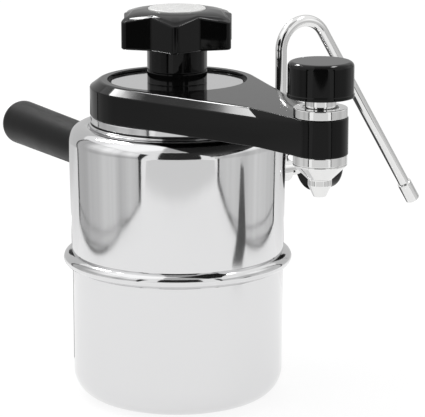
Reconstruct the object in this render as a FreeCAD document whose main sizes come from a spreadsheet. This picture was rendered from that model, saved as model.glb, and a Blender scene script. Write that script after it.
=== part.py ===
import FreeCAD
import Part
import math
import os
import Sketcher

# Stovetop espresso maker with a screw-down lid, a coffee valve on the lid's arm
# and a steam valve with a swivelling wand. Millimetres, +Z up, origin at the
# centre of the base, the coffee arm along +X, the handle along -X and the steam
# valve along +Y.

doc = FreeCAD.newDocument("espresso_maker")

SIZES = {
    # boiler: a drawn cup and an upper shell, joined at a rolled seam
    "cup_radius": 53.3,
    "cup_corner": 14.0,
    "boiler_wall": 1.2,
    "seam_height": 72.0,
    "seam_depth": 4.5,
    "seam_rise": 3.9,
    "seam_drop": 3.3,
    "seam_round": 4.2,
    "socket_depth": 2.0,
    "shell_foot_radius": 53.6,
    "shell_top_radius": 54.7,
    "shoulder_height": 138.4,
    "shoulder_rise": 1.7,
    "shoulder_round": 7.8,
    "mouth_radius": 40.0,
    "seat_radius": 44.6,
    # neck ring with the well that carries the basket
    "neck_radius": 44.2,
    "neck_height": 6.9,
    "neck_bead": 2.6,
    "neck_bead_round": 1.4,
    "neck_groove_width": 0.7,
    "neck_groove_depth": 1.2,
    "neck_band_radius": 43.6,
    "spigot_depth": 10.4,
    "gasket_bore": 36.5,
    "ledge_drop": 8.3,
    "well_radius": 33.6,
    "well_wall": 2.6,
    "well_depth": 37.3,
    # cross bar and threaded post that the closing knob screws on
    "bridge_width": 14.0,
    "bridge_thickness": 5.0,
    "hub_radius": 9.0,
    "post_radius": 4.0,
    "post_length": 81.0,
    "post_chamfer": 1.0,
    # lid with its arm
    "lid_gap": 0.2,
    "plate_radius": 43.8,
    "plate_thickness": 17.5,
    "bevel_width": 4.8,
    "bevel_drop": 3.5,
    "flank_angle": 17.9,
    "arm_reach": 120.5,
    "boss_radius": 13.0,
    "arm_taper": 6.0,
    "arm_taper_top": 2.0,
    "disc_radius": 33.0,
    "disc_thickness": 1.0,
    "disc_sink": 0.9,
    "disc_margin": 0.2,
    "recess_flare": 1.2,
    "lid_gasket_height": 2.5,
    "gallery_radius": 31.5,
    "post_gasket_radius": 7.5,
    "bush_radius": 6.0,
    "screw_circle": 22.0,
    "screw_radius": 2.0,
    "screw_length": 9.0,
    "screw_head_radius": 3.6,
    "screw_count": 3,
    "screw_start": 60.0,
    # closing knob
    "collar_radius": 15.0,
    "collar_height": 5.4,
    "knob_gap": 0.1,
    "hub_height": 12.5,
    "washer_radius": 12.0,
    "washer_thickness": 1.5,
    "insert_radius": 7.0,
    "insert_length": 17.7,
    "lobe_reach": 30.8,
    "lobe_radius": 3.2,
    "notch_radius": 23.6,
    "notch_round": 2.5,
    "lobe_side": 13.8,
    "lobe_count": 6,
    "lobe_direction": 25.0,
    "knob_height": 31.0,
    "dome_radius": 32.0,
    "cap_radius": 14.4,
    "cap_thickness": 1.6,
    "cap_proud": 0.4,
    # coffee basket and filter
    "basket_radius": 32.8,
    "basket_wall": 0.8,
    "basket_depth": 21.5,
    "basket_rim": 1.2,
    "basket_gasket_height": 1.5,
    "rim_play": 0.3,
    "filter_thickness": 1.0,
    "sleeve_play": 0.5,
    "sleeve_wall": 0.8,
    "sleeve_proud": 0.5,
    "pan_depth": 4.5,
    "sieve_hole": 0.8,
    "sieve_rings": 3,
    "sieve_first": 9.5,
    "sieve_step": 8.0,
    "sieve_spacing": 9.5,
    "riser_offset": 16.0,
    "riser_radius": 4.0,
    "riser_wall": 1.0,
    "riser_floor_gap": 8.0,
    # coffee valve on the arm
    "valve_stem_radius": 8.5,
    "ring_radius": 12.6,
    "ring_height": 4.5,
    "gland_radius": 7.3,
    "gland_height": 4.35,
    "gland_thread": 4.5,
    "chamber_radius": 4.5,
    "seat_height": 1.9,
    "packing_height": 4.0,
    "spindle_radius": 2.5,
    "running_gap": 0.05,
    "jumper_thickness": 1.6,
    "coffee_stalk_radius": 1.2,
    "coffee_stalk_length": 2.5,
    "steam_stalk_radius": 0.7,
    "steam_stalk_length": 1.5,
    "jumper_side_gap": 0.2,
    "wand_side_gap": 0.15,
    "thread_grip": 1.0,
    "jumper_play": 0.7,
    "coffee_knob_radius": 15.7,
    "coffee_knob_top_radius": 15.4,
    "coffee_knob_height": 16.7,
    "coffee_knob_round": 2.4,
    "knob_clearance": 0.4,
    "coffee_spindle_grip": 11.5,
    "tube_offset": 24.0,
    "tube_radius": 3.0,
    "tube_bore": 2.0,
    "tube_height": 8.0,
    "spout_cone": 7.4,
    "spout_neck_radius": 5.6,
    "spout_neck": 2.7,
    "spout_tip_radius": 3.0,
    "spout_tip": 5.5,
    "spout_bore": 2.0,
    "spout_spigot": 6.0,
    "spout_spigot_length": 3.5,
    # steam valve and wand
    "steam_room": 15.5,
    "steam_spigot_radius": 5.0,
    "steam_boss_radius": 8.3,
    "steam_boss_spigot": 7.0,
    "steam_boss_face": 58.5,
    "inner_reach": 3.5,
    "steam_body_radius": 6.0,
    "steam_body_length": 9.5,
    "steam_neck_radius": 3.5,
    "steam_neck_length": 4.0,
    "steam_chamber_radius": 2.6,
    "steam_seat": 3.0,
    "steam_inlet": 1.8,
    "steam_packing_length": 2.5,
    "steam_gland_length": 10.0,
    "steam_spindle_radius": 1.5,
    "steam_spindle_grip": 12.0,
    "steam_knob_radius": 13.0,
    "steam_knob_length": 14.0,
    "steam_knob_round": 3.0,
    "wand_offset": 63.8,
    "wand_radius": 3.0,
    "wand_bore": 2.0,
    "wand_seat": 3.7,
    "wand_bend": 14.4,
    "wand_bend_height": 171.0,
    "wand_slope": 32.5,
    "wand_drop": 113.5,
    "port_radius": 3.9,
    "port_height": 10.5,
    "wand_nut_flats": 11.0,
    "wand_nut_height": 6.0,
    "wand_nut_grip": 2.0,
    "wand_packing_height": 1.5,
    "nozzle_radius": 3.8,
    "nozzle_length": 12.0,
    "nozzle_overhang": 1.5,
    "nozzle_hole": 0.8,
    # handle
    "handle_room": 13.8,
    "handle_tilt": 1.7,
    "handle_reach": 162.0,
    "grip_root_radius": 10.9,
    "grip_end_radius": 12.1,
    "grip_round": 5.0,
    "grip_gap": 0.1,
    "stud_radius": 4.0,
    "stud_length": 24.0,
    "stud_flange_radius": 8.0,
    "stud_flange": 3.0,
    "grip_insert_radius": 6.0,
    # safety valve behind the handle side
    "safety_azimuth": 135.0,
    "safety_spigot_radius": 5.0,
    "safety_body_radius": 6.5,
    "safety_body_end": 69.0,
    "safety_seat": 57.0,
    "safety_inlet": 1.5,
    "safety_chamber_radius": 3.2,
    "safety_ball_radius": 2.0,
    "safety_coil_radius": 1.6,
    "safety_wire_radius": 0.35,
    "safety_coil_pitch": 1.4,
    "safety_cap_radius": 5.4,
    "safety_cap_length": 3.5,
    "safety_cap_spigot": 2.5,
}

sheet = doc.addObject("Spreadsheet::Sheet", "Sizes")
for row, (alias, number) in enumerate(SIZES.items(), start=1):
    sheet.set(f"A{row}", alias)
    sheet.set(f"B{row}", str(number))
    sheet.setAlias(f"B{row}", alias)
doc.recompute()


class Size:
    """A length or angle that knows its value and the formula that gives it."""

    def __init__(self, value, formula):
        self.value = float(value)
        self.formula = formula

    def __add__(self, other):
        other = as_size(other)
        return Size(self.value + other.value, f"({self.formula} + {other.formula})")

    def __sub__(self, other):
        other = as_size(other)
        return Size(self.value - other.value, f"({self.formula} - {other.formula})")

    def __mul__(self, other):
        other = as_size(other)
        return Size(self.value * other.value, f"({self.formula} * {other.formula})")

    def __truediv__(self, other):
        other = as_size(other)
        return Size(self.value / other.value, f"({self.formula} / {other.formula})")

    def __neg__(self):
        return Size(-self.value, f"(-1 * {self.formula})")

    def __radd__(self, other):
        return as_size(other) + self

    def __rsub__(self, other):
        return as_size(other) - self

    def __rmul__(self, other):
        return as_size(other) * self


def as_size(number):
    if isinstance(number, Size):
        return number
    return Size(number, f"({number})")


def cosine(angle):
    angle = as_size(angle)
    return Size(math.cos(math.radians(angle.value)), f"cos({angle.formula})")


def sine(angle):
    angle = as_size(angle)
    return Size(math.sin(math.radians(angle.value)), f"sin({angle.formula})")


def root(number):
    return Size(math.sqrt(number.value), f"sqrt({number.formula})")


def whole(number):
    return Size(math.floor(number.value), f"floor({number.formula})")


def size(alias):
    return Size(sheet.get(alias), f"Sizes.{alias}")


def bind(thing, path, amount):
    """Ties one property of an object to the sheet."""
    thing.setExpression(path, as_size(amount).formula)


# directions that a turned piece can point in, as turns of its own +Z
UP = FreeCAD.Rotation()
ALONG_X = FreeCAD.Rotation(FreeCAD.Vector(0, 1, 0), 90)
ALONG_Y = FreeCAD.Rotation(FreeCAD.Vector(1, 0, 0), -90)
safety_turn = FreeCAD.Rotation(SIZES["safety_azimuth"], 90, 0)
handle_turn = FreeCAD.Rotation(FreeCAD.Vector(0, -1, 0), 90 - SIZES["handle_tilt"])
wand_turn = FreeCAD.Rotation(FreeCAD.Vector(1, 0, 0), 180 + SIZES["wand_slope"])


def place(thing, at=(0, 0, 0), turn=UP):
    values = [as_size(amount).value for amount in at]
    thing.Placement = FreeCAD.Placement(FreeCAD.Vector(*values), turn)
    for axis, amount in zip("xyz", at):
        if isinstance(amount, Size):
            bind(thing, f".Placement.Base.{axis}", amount)


def new_body(label, at=(0, 0, 0), turn=UP):
    body = doc.addObject("PartDesign::Body", label)
    body.Label = label
    place(body, at, turn)
    return body


def new_sketch(body, role, lift=0):
    """A sketch on one of the body's own planes, lifted off it along its normal."""
    sketch = body.newObject("Sketcher::SketchObject", f"{body.Name}_sketch")
    plane = next(item for item in body.Origin.OriginFeatures if item.Role == role)
    sketch.AttachmentSupport = [(plane, "")]
    sketch.MapMode = "FlatFace"
    lift = as_size(lift)
    sketch.AttachmentOffset = FreeCAD.Placement(FreeCAD.Vector(0, 0, lift.value), UP)
    if "Sizes" in lift.formula:
        bind(sketch, "AttachmentOffset.Base.z", lift)
    return sketch


def fix_point(sketch, geometry, end, across, along):
    """Holds one end of a sketch line at its place from the origin."""
    for kind, amount, axis in (("DistanceX", across, -2), ("DistanceY", along, -1)):
        if amount.value == 0:
            sketch.addConstraint(Sketcher.Constraint("PointOnObject", geometry, end, axis))
            continue
        number = sketch.addConstraint(
            Sketcher.Constraint(kind, -1, 1, geometry, end, amount.value))
        bind(sketch, f"Constraints[{number}]", amount)


def arc_between(start, end, radius, bend):
    """The short arc from start to end; bend is 1 to turn left and -1 to turn right."""
    chord = end - start
    height = math.sqrt(max(radius ** 2 - (chord.Length / 2) ** 2, 0))
    across = FreeCAD.Vector(-chord.y, chord.x, 0).normalize()
    sagitta = radius - height
    middle = start + chord * 0.5 - across * (sagitta * bend)
    return Part.Arc(start, middle, end)


def draw(sketch, corners, closed=True):
    """An outline. Each corner is (across, along) at the end of a straight stretch,
    or (across, along, radius, bend) at the end of an arc. A closed outline joins
    its last corner to its first, and an open one starts at its first."""
    points = [(as_size(corner[0]), as_size(corner[1])) for corner in corners]
    vectors = [FreeCAD.Vector(across.value, along.value, 0) for across, along in points]
    lines = {}
    stretches = range(len(corners)) if closed else range(1, len(corners))
    for index in stretches:
        start, end = vectors[index - 1], vectors[index]
        corner = corners[index]
        if len(corner) == 2:
            lines[index] = sketch.addGeometry(Part.LineSegment(start, end))
        else:
            arc = arc_between(start, end, as_size(corner[2]).value, corner[3])
            lines[index] = sketch.addGeometry(arc)
    for index in stretches:
        line, corner = lines[index], corners[index]
        first, last = ends_of(corner)
        before = (index - 1) % len(corners)
        if before in lines:
            _, before_last = ends_of(corners[before])
            sketch.addConstraint(
                Sketcher.Constraint("Coincident", lines[before], before_last, line, first))
        else:
            fix_point(sketch, line, first, *points[before])
        fix_point(sketch, line, last, *points[index])
        if len(corner) == 4:
            number = sketch.addConstraint(
                Sketcher.Constraint("Radius", line, as_size(corner[2]).value))
            bind(sketch, f"Constraints[{number}]", corner[2])
    return sketch


def ends_of(corner):
    """Which ends of the line or arc are its start and its end: an arc is stored
    anticlockwise, so one that bends right runs from its second end."""
    if len(corner) == 4 and corner[3] < 0:
        return 2, 1
    return 1, 2


def circle(sketch, radius, across=0, along=0):
    across, along, radius = as_size(across), as_size(along), as_size(radius)
    centre = FreeCAD.Vector(across.value, along.value, 0)
    ring = sketch.addGeometry(Part.Circle(centre, FreeCAD.Vector(0, 0, 1), radius.value))
    if across.value == 0 and along.value == 0:
        sketch.addConstraint(Sketcher.Constraint("Coincident", ring, 3, -1, 1))
    else:
        fix_point(sketch, ring, 3, across, along)
    number = sketch.addConstraint(Sketcher.Constraint("Radius", ring, radius.value))
    bind(sketch, f"Constraints[{number}]", radius)
    return sketch


def revolve(body, corners, cut=False):
    sketch = draw(new_sketch(body, "XZ_Plane"), corners)
    kind = "PartDesign::Groove" if cut else "PartDesign::Revolution"
    feature = body.newObject(kind, f"{body.Name}_turned")
    feature.Profile = sketch
    feature.ReferenceAxis = (sketch, ["V_Axis"])
    feature.Angle = 360
    return feature


def pad(body, sketch, length):
    feature = body.newObject("PartDesign::Pad", f"{body.Name}_pad")
    feature.Profile = sketch
    feature.Length = as_size(length).value
    bind(feature, "Length", length)
    return feature


def pocket(body, sketch, depth, upward=True):
    feature = body.newObject("PartDesign::Pocket", f"{body.Name}_pocket")
    feature.Profile = sketch
    feature.Length = as_size(depth).value
    bind(feature, "Length", depth)
    feature.Reversed = upward
    return feature


def polar(body, feature, count, turn=360):
    pattern = body.newObject("PartDesign::PolarPattern", f"{body.Name}_pattern")
    pattern.Originals = [feature]
    pattern.Axis = (feature.Profile[0], ["N_Axis"])
    pattern.Angle = turn
    pattern.Occurrences = int(round(as_size(count).value))
    bind(pattern, "Occurrences", count)
    body.Tip = pattern
    return pattern


def turned(label, corners, at=(0, 0, 0), turn=UP):
    """A lathe-turned piece: corners are (radius, height) along its own axis."""
    body = new_body(label, at, turn)
    revolve(body, corners)
    return body


def ring(label, inner, outer, low, high, at=(0, 0, 0), turn=UP):
    corners = [(inner, low), (outer, low), (outer, high), (inner, high)]
    return turned(label, corners, at, turn)


def cylinder(name, radius, length, at, turn=UP):
    thing = doc.addObject("Part::Cylinder", name)
    thing.Radius = as_size(radius).value
    thing.Height = as_size(length).value
    bind(thing, "Radius", radius)
    bind(thing, "Height", length)
    place(thing, at, turn)
    return thing


def fuse(label, things):
    thing = doc.addObject("Part::MultiFuse", label)
    thing.Shapes = things
    thing.Label = label
    return thing


def cut(label, base, tool):
    thing = doc.addObject("Part::Cut", label)
    thing.Base = base
    thing.Tool = tool
    thing.Label = label
    return thing


class Cells:
    """The sheet's sizes, read by name."""

    def __getattr__(self, alias):
        return size(alias)


s = Cells()

# heights above the table that several pieces share
shell_foot = s.seam_height - s.socket_depth
seam_top = s.seam_height + s.seam_rise
crest = s.shoulder_height + s.shoulder_rise
wall_top = crest - s.shoulder_round
handle_height = wall_top - s.stud_flange_radius - s.handle_room
steam_height = wall_top - s.steam_boss_radius - s.steam_room
neck_top = s.shoulder_height + s.neck_height
ledge = neck_top - s.ledge_drop
well_bottom = neck_top - s.well_depth
well_outer = s.well_radius + s.well_wall
bridge_bottom = well_bottom - s.bridge_thickness
post_top = bridge_bottom + s.post_length
rim_radius = s.gasket_bore - s.rim_play
rim_bottom = ledge + s.basket_gasket_height
rim_top = rim_bottom + s.basket_rim
filter_top = rim_top + s.filter_thickness
basket_floor = rim_bottom - s.basket_depth
pan_bottom = basket_floor - s.pan_depth
sleeve_radius = s.post_radius + s.sleeve_play
sleeve_outer = sleeve_radius + s.sleeve_wall
sleeve_top = filter_top + s.sleeve_proud
gasket_top = filter_top + s.lid_gasket_height
lid_bottom = neck_top + s.lid_gap
plate_top = lid_bottom + s.plate_thickness
bevel_foot = plate_top - s.bevel_drop
disc_top = plate_top - s.disc_sink
disc_bottom = disc_top - s.disc_thickness
tube_axis = lid_bottom + s.tube_height
collar_top = disc_top + s.collar_height
bush_bore = s.post_radius + s.rim_play


# boiler

def boiler_envelope(name, gap):
    """The shell's outside, grown by a gap, used to trim what meets its wall."""
    foot = s.shell_foot_radius + gap
    top = s.shell_top_radius + gap
    return turned(name, [
        (0, shell_foot),
        (foot, shell_foot),
        (foot, seam_top),
        (top, wall_top),
        (0, wall_top),
    ])


def make_boiler_cup():
    inner = s.cup_radius - s.boiler_wall
    return turned("boiler_cup", [
        (0, 0),
        (s.cup_radius - s.cup_corner, 0),
        (s.cup_radius, s.cup_corner, s.cup_corner, 1),
        (s.cup_radius, s.seam_height - s.seam_drop),
        (s.cup_radius + s.seam_depth, s.seam_height, s.seam_round, 1),
        (s.shell_foot_radius, seam_top, s.seam_round, 1),
        (s.shell_foot_radius, shell_foot),
        (inner, shell_foot),
        (inner, s.cup_corner),
        (s.cup_radius - s.cup_corner, s.boiler_wall, s.cup_corner - s.boiler_wall, -1),
        (0, s.boiler_wall),
    ])


def make_boiler_shell():
    foot, top, wall = s.shell_foot_radius, s.shell_top_radius, s.boiler_wall
    crest_radius = top - s.shoulder_round
    drawn = turned("drawn_shell", [
        (foot, shell_foot),
        (foot, seam_top),
        (top, wall_top),
        (crest_radius, crest, s.shoulder_round, 1),
        (s.seat_radius, s.shoulder_height),
        (s.mouth_radius, s.shoulder_height),
        (s.mouth_radius, s.shoulder_height - wall),
        (s.seat_radius, s.shoulder_height - wall),
        (crest_radius, crest - wall),
        (top - wall, wall_top, s.shoulder_round - wall, -1),
        (foot - wall, seam_top),
        (foot - wall, shell_foot),
    ])
    inside = s.shell_top_radius - s.inner_reach
    steam_port = cylinder(
        "steam_port", s.steam_boss_spigot, s.inner_reach * 2, (0, inside, steam_height), ALONG_Y)
    across, along = cosine(s.safety_azimuth), sine(s.safety_azimuth)
    safety_port = cylinder(
        "safety_port", s.safety_spigot_radius, s.inner_reach * 2,
        (across * inside, along * inside, steam_height), safety_turn)
    return cut("boiler_shell", drawn, fuse("wall_ports", [steam_port, safety_port]))


def make_neck_ring():
    bead_top = s.shoulder_height + s.neck_bead
    bead_half = s.neck_bead / 2
    bead_round = s.neck_bead_round
    bead_edge = s.neck_radius - bead_round + root(bead_round * bead_round - bead_half * bead_half)
    groove_radius = s.neck_band_radius - s.neck_groove_depth
    groove_top = bead_top + s.neck_groove_width
    spigot_foot = s.shoulder_height - s.spigot_depth
    return turned("neck_ring", [
        (s.mouth_radius, s.shoulder_height),
        (bead_edge, s.shoulder_height),
        (bead_edge, bead_top, bead_round, 1),
        (groove_radius, bead_top),
        (groove_radius, groove_top),
        (s.neck_band_radius, groove_top),
        (s.neck_band_radius, neck_top),
        (s.gasket_bore, neck_top),
        (s.gasket_bore, ledge),
        (s.well_radius, ledge),
        (s.well_radius, well_bottom),
        (well_outer, well_bottom),
        (well_outer, spigot_foot),
        (s.mouth_radius, spigot_foot),
    ])


def make_post_bridge():
    body = new_body("post_bridge")
    half = s.bridge_width / 2
    reach = root(well_outer * well_outer - half * half)
    bar = draw(new_sketch(body, "XY_Plane", bridge_bottom), [
        (half, reach),
        (-half, reach, well_outer, 1),
        (-half, -reach),
        (half, -reach, well_outer, 1),
    ])
    pad(body, bar, s.bridge_thickness)
    hub = circle(new_sketch(body, "XY_Plane", bridge_bottom), s.hub_radius)
    pad(body, hub, s.bridge_thickness)
    hole = circle(new_sketch(body, "XY_Plane", bridge_bottom), s.post_radius)
    pocket(body, hole, s.bridge_thickness)
    return body


def make_clamp_post():
    return turned("clamp_post", [
        (0, bridge_bottom),
        (s.post_radius, bridge_bottom),
        (s.post_radius, post_top - s.post_chamfer),
        (s.post_radius - s.post_chamfer, post_top),
        (0, post_top),
    ])


# handle, on its own axis that leaves the boiler and rises a little

def make_handle():
    at = (0, 0, handle_height)
    flange_end = s.shell_top_radius + s.stud_flange
    stud_end = flange_end + s.stud_length
    inside = s.shell_foot_radius - s.inner_reach
    stud = turned("stud_turned", [
        (0, inside),
        (s.stud_flange_radius, inside),
        (s.stud_flange_radius, flange_end),
        (s.stud_radius, flange_end),
        (s.stud_radius, stud_end),
        (0, stud_end),
    ], at, handle_turn)
    tie_tilt(stud)
    insert = ring(
        "grip_insert", s.stud_radius, s.grip_insert_radius, flange_end + s.grip_gap, stud_end,
        at, handle_turn)
    tie_tilt(insert)
    grip = turned("grip_turned", [
        (s.stud_flange_radius + s.grip_gap, inside),
        (s.grip_root_radius, inside),
        (s.grip_end_radius, s.handle_reach - s.grip_round),
        (s.grip_end_radius - s.grip_round, s.handle_reach, s.grip_round, 1),
        (0, s.handle_reach),
        (0, stud_end),
        (s.grip_insert_radius, stud_end),
        (s.grip_insert_radius, flange_end + s.grip_gap),
        (s.stud_flange_radius + s.grip_gap, flange_end + s.grip_gap),
    ], at, handle_turn)
    tie_tilt(grip)
    return [
        cut("handle_stud", stud, boiler_envelope("stud_trim", 0)),
        insert,
        cut("handle_grip", grip, boiler_envelope("grip_trim", s.grip_gap)),
    ]


def tie_tilt(thing):
    bind(thing, ".Placement.Rotation.Angle", 90 - s.handle_tilt)


# steam valve, on an axis along +Y, and the wand that swivels in its port

steam_axis = (0, 0, steam_height)
steam_inside = s.shell_top_radius - s.inner_reach
steam_seat = s.steam_boss_face + s.steam_seat
steam_body_end = s.steam_boss_face + s.steam_body_length
steam_neck_end = steam_body_end + s.steam_neck_length
steam_gland_end = steam_neck_end + s.steam_gland_length
steam_knob_foot = steam_gland_end + s.knob_clearance
steam_spindle_end = steam_knob_foot + s.steam_spindle_grip
port_top = steam_height + s.port_height
wand_foot = steam_height + s.wand_seat
nut_top = port_top - s.wand_nut_grip + s.wand_nut_height
wand_axis = (0, s.wand_offset, 0)


def on_wand(height):
    return (0, s.wand_offset, height)


def make_steam_boss():
    flange = ring(
        "steam_flange", s.steam_spigot_radius, s.steam_boss_radius, steam_inside,
        s.steam_boss_face, steam_axis, ALONG_Y)
    trimmed = cut("steam_flange_trimmed", flange, boiler_envelope("steam_boss_trim", 0))
    spigot = ring(
        "steam_boss_sleeve", s.steam_spigot_radius, s.steam_boss_spigot, steam_inside,
        s.steam_boss_face, steam_axis, ALONG_Y)
    return fuse("steam_boss", [trimmed, spigot])


def make_steam_valve_body():
    barrel = turned("steam_barrel", [
        (s.steam_inlet, steam_inside),
        (s.steam_spigot_radius, steam_inside),
        (s.steam_spigot_radius, s.steam_boss_face),
        (s.steam_body_radius, s.steam_boss_face),
        (s.steam_body_radius, steam_body_end),
        (s.steam_neck_radius, steam_body_end),
        (s.steam_neck_radius, steam_neck_end),
        (s.steam_inlet, steam_neck_end),
    ], steam_axis, ALONG_Y)
    port = cylinder("wand_port", s.port_radius, s.port_height, on_wand(steam_height))
    bores = fuse("steam_bores", [
        cylinder("steam_chamber", s.steam_chamber_radius, steam_neck_end - steam_seat,
                 (0, steam_seat, steam_height), ALONG_Y),
        cylinder("wand_way", s.wand_bore, s.wand_seat, on_wand(steam_height)),
        cylinder("wand_socket", s.wand_radius + s.running_gap, s.port_height,
                 on_wand(wand_foot)),
    ])
    return cut("steam_valve_body", fuse("steam_casting", [barrel, port]), bores)


def make_steam_valve():
    bore = s.steam_spindle_radius + s.running_gap
    stalk = s.steam_stalk_radius
    jumper_top = steam_seat + s.jumper_thickness
    stalk_end = jumper_top + s.steam_stalk_length
    packing_end = steam_neck_end - s.thread_grip
    jumper = turned("steam_jumper", [
        (0, steam_seat),
        (s.steam_chamber_radius - s.jumper_side_gap, steam_seat),
        (s.steam_chamber_radius - s.jumper_side_gap, jumper_top),
        (stalk, jumper_top),
        (stalk, stalk_end),
        (0, stalk_end),
    ], steam_axis, ALONG_Y)
    packing = ring(
        "steam_packing", bore, s.steam_chamber_radius, packing_end - s.steam_packing_length,
        packing_end, steam_axis, ALONG_Y)
    gland = turned("steam_gland_nut", [
        (bore, packing_end),
        (s.steam_chamber_radius, packing_end),
        (s.steam_chamber_radius, steam_neck_end),
        (s.steam_neck_radius, steam_neck_end),
        (s.steam_neck_radius, steam_gland_end),
        (bore, steam_gland_end),
    ], steam_axis, ALONG_Y)
    spindle = make_spindle(
        "steam_spindle", s.steam_spindle_radius, stalk, jumper_top, stalk_end, steam_spindle_end,
        steam_axis, ALONG_Y)
    knob_end = steam_knob_foot + s.steam_knob_length
    knob = turned("steam_knob", [
        (s.steam_spindle_radius, steam_knob_foot),
        (s.steam_knob_radius, steam_knob_foot),
        (s.steam_knob_radius, knob_end - s.steam_knob_round),
        (s.steam_knob_radius - s.steam_knob_round, knob_end, s.steam_knob_round, 1),
        (0, knob_end),
        (0, steam_spindle_end),
        (s.steam_spindle_radius, steam_spindle_end),
    ], steam_axis, ALONG_Y)
    return [jumper, packing, gland, spindle, knob]


def make_spindle(label, radius, stalk, foot, stalk_end, end, at, turn=UP):
    """A valve spindle whose blind bore carries the stalk of its jumper."""
    bore = stalk + s.running_gap
    return turned(label, [
        (bore, foot + s.running_gap),
        (radius, foot + s.running_gap),
        (radius, end),
        (0, end),
        (0, stalk_end + s.running_gap),
        (bore, stalk_end + s.running_gap),
    ], at, turn)


def make_wand():
    tube = new_body("steam_wand")
    path = new_sketch(tube, "YZ_Plane")
    bend_across = s.wand_offset + s.wand_bend + s.wand_bend * cosine(s.wand_slope)
    bend_along = s.wand_bend_height + s.wand_bend * sine(s.wand_slope)
    tip_across = bend_across + s.wand_drop * sine(s.wand_slope)
    tip_along = bend_along - s.wand_drop * cosine(s.wand_slope)
    draw(path, [
        (s.wand_offset, wand_foot),
        (s.wand_offset, s.wand_bend_height),
        (bend_across, bend_along, s.wand_bend, -1),
        (tip_across, tip_along),
    ], closed=False)
    section = new_sketch(tube, "XY_Plane", wand_foot)
    circle(section, s.wand_radius, 0, s.wand_offset)
    circle(section, s.wand_bore, 0, s.wand_offset)
    pipe = tube.newObject("PartDesign::AdditivePipe", "wand_pipe")
    pipe.Profile = section
    pipe.Spine = (path, [])
    collar_top = port_top + s.wand_packing_height
    collar = ring(
        "wand_collar", s.wand_radius, s.port_radius - s.jumper_side_gap,
        port_top + s.running_gap, collar_top - s.running_gap, wand_axis)
    nozzle_foot = s.nozzle_overhang - s.nozzle_length
    chamfer = s.nozzle_radius - s.wand_radius
    nozzle = turned("steam_nozzle", [
        (s.wand_radius, nozzle_foot),
        (s.nozzle_radius, nozzle_foot + chamfer / 2),
        (s.nozzle_radius, s.nozzle_overhang - chamfer / 2),
        (s.wand_radius, s.nozzle_overhang),
        (s.nozzle_hole, s.nozzle_overhang),
        (s.nozzle_hole, 0),
        (s.wand_radius, 0),
    ], (0, tip_across, tip_along), wand_turn)
    bind(nozzle, ".Placement.Rotation.Angle", 180 + s.wand_slope)
    return [tube, collar, nozzle]


def make_wand_nut():
    foot = port_top - s.wand_nut_grip
    blank = doc.addObject("Part::Prism", "wand_nut_blank")
    blank.Polygon = 6
    corner_radius = s.wand_nut_flats / math.sqrt(3)
    blank.Circumradius = corner_radius.value
    blank.Height = s.wand_nut_height.value
    bind(blank, "Circumradius", corner_radius)
    bind(blank, "Height", s.wand_nut_height)
    place(blank, on_wand(foot))
    lip = s.thread_grip
    way = s.wand_radius + s.wand_side_gap
    bores = fuse("wand_nut_bores", [
        cylinder("wand_nut_thread", s.port_radius, s.wand_nut_height - lip, on_wand(foot)),
        cylinder("wand_nut_way", way, s.wand_nut_height, on_wand(foot)),
    ])
    packing = ring(
        "wand_packing", s.wand_radius + s.running_gap, s.port_radius,
        port_top + s.wand_packing_height, nut_top - lip, wand_axis)
    return [cut("wand_nut", blank, bores), packing]


# safety valve, hidden behind the boiler

def make_safety_valve():
    base = (0, 0, steam_height)
    inside = s.shell_top_radius - s.inner_reach
    cap_foot = s.safety_body_end - s.safety_cap_spigot
    cap_end = s.safety_body_end + s.safety_cap_length
    flange = ring(
        "safety_flange", s.safety_chamber_radius, s.safety_body_radius, inside,
        s.safety_body_end, base, safety_turn)
    trimmed = cut("safety_flange_trimmed", flange, boiler_envelope("safety_trim", 0))
    sleeve = turned("safety_sleeve", [
        (s.safety_inlet, inside),
        (s.safety_spigot_radius, inside),
        (s.safety_spigot_radius, s.safety_body_end),
        (s.safety_chamber_radius, s.safety_body_end),
        (s.safety_chamber_radius, s.safety_seat),
        (s.safety_inlet, s.safety_seat),
    ], base, safety_turn)
    body = fuse("safety_body", [trimmed, sleeve])
    ball_radius = s.safety_ball_radius
    seated = root(ball_radius * ball_radius - s.safety_inlet * s.safety_inlet)
    centre = s.safety_seat + seated
    ball = turned("safety_ball", [
        (ball_radius, centre, ball_radius, 1),
        (0, centre + ball_radius, ball_radius, 1),
        (0, centre - ball_radius),
    ], base, safety_turn)
    coil_seat = root(ball_radius * ball_radius - s.safety_coil_radius * s.safety_coil_radius)
    coil_foot = centre + coil_seat + s.safety_wire_radius * 2
    coil_end = cap_foot - s.safety_wire_radius * 2
    spring = new_body("safety_spring", base, safety_turn)
    wire = circle(new_sketch(spring, "XZ_Plane"), s.safety_wire_radius,
                  s.safety_coil_radius, coil_foot)
    coil = spring.newObject("PartDesign::AdditiveHelix", "safety_coil")
    coil.Profile = wire
    coil.ReferenceAxis = (wire, ["V_Axis"])
    coil.Mode = 0
    coil.Pitch = s.safety_coil_pitch.value
    coil.Height = (coil_end - coil_foot).value
    bind(coil, "Pitch", s.safety_coil_pitch)
    bind(coil, "Height", coil_end - coil_foot)
    vent = s.safety_inlet / 2
    cap = turned("safety_cap", [
        (vent, cap_foot),
        (s.safety_chamber_radius, cap_foot),
        (s.safety_chamber_radius, s.safety_body_end),
        (s.safety_cap_radius, s.safety_body_end),
        (s.safety_cap_radius, cap_end),
        (vent, cap_end),
    ], base, safety_turn)
    return [body, ball, spring, cap]


# basket, funnel pan, riser and filter, stacked on the ledge of the well

def sieve(body, plane_height, thickness):
    """Rings of holes through a flat round plate."""
    for index in range(int(s.sieve_rings.value)):
        radius = s.sieve_first + index * s.sieve_step
        hole = circle(new_sketch(body, "XY_Plane", plane_height), s.sieve_hole, radius)
        polar(body, pocket(body, hole, thickness), whole(radius * 2 * math.pi / s.sieve_spacing))


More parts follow.
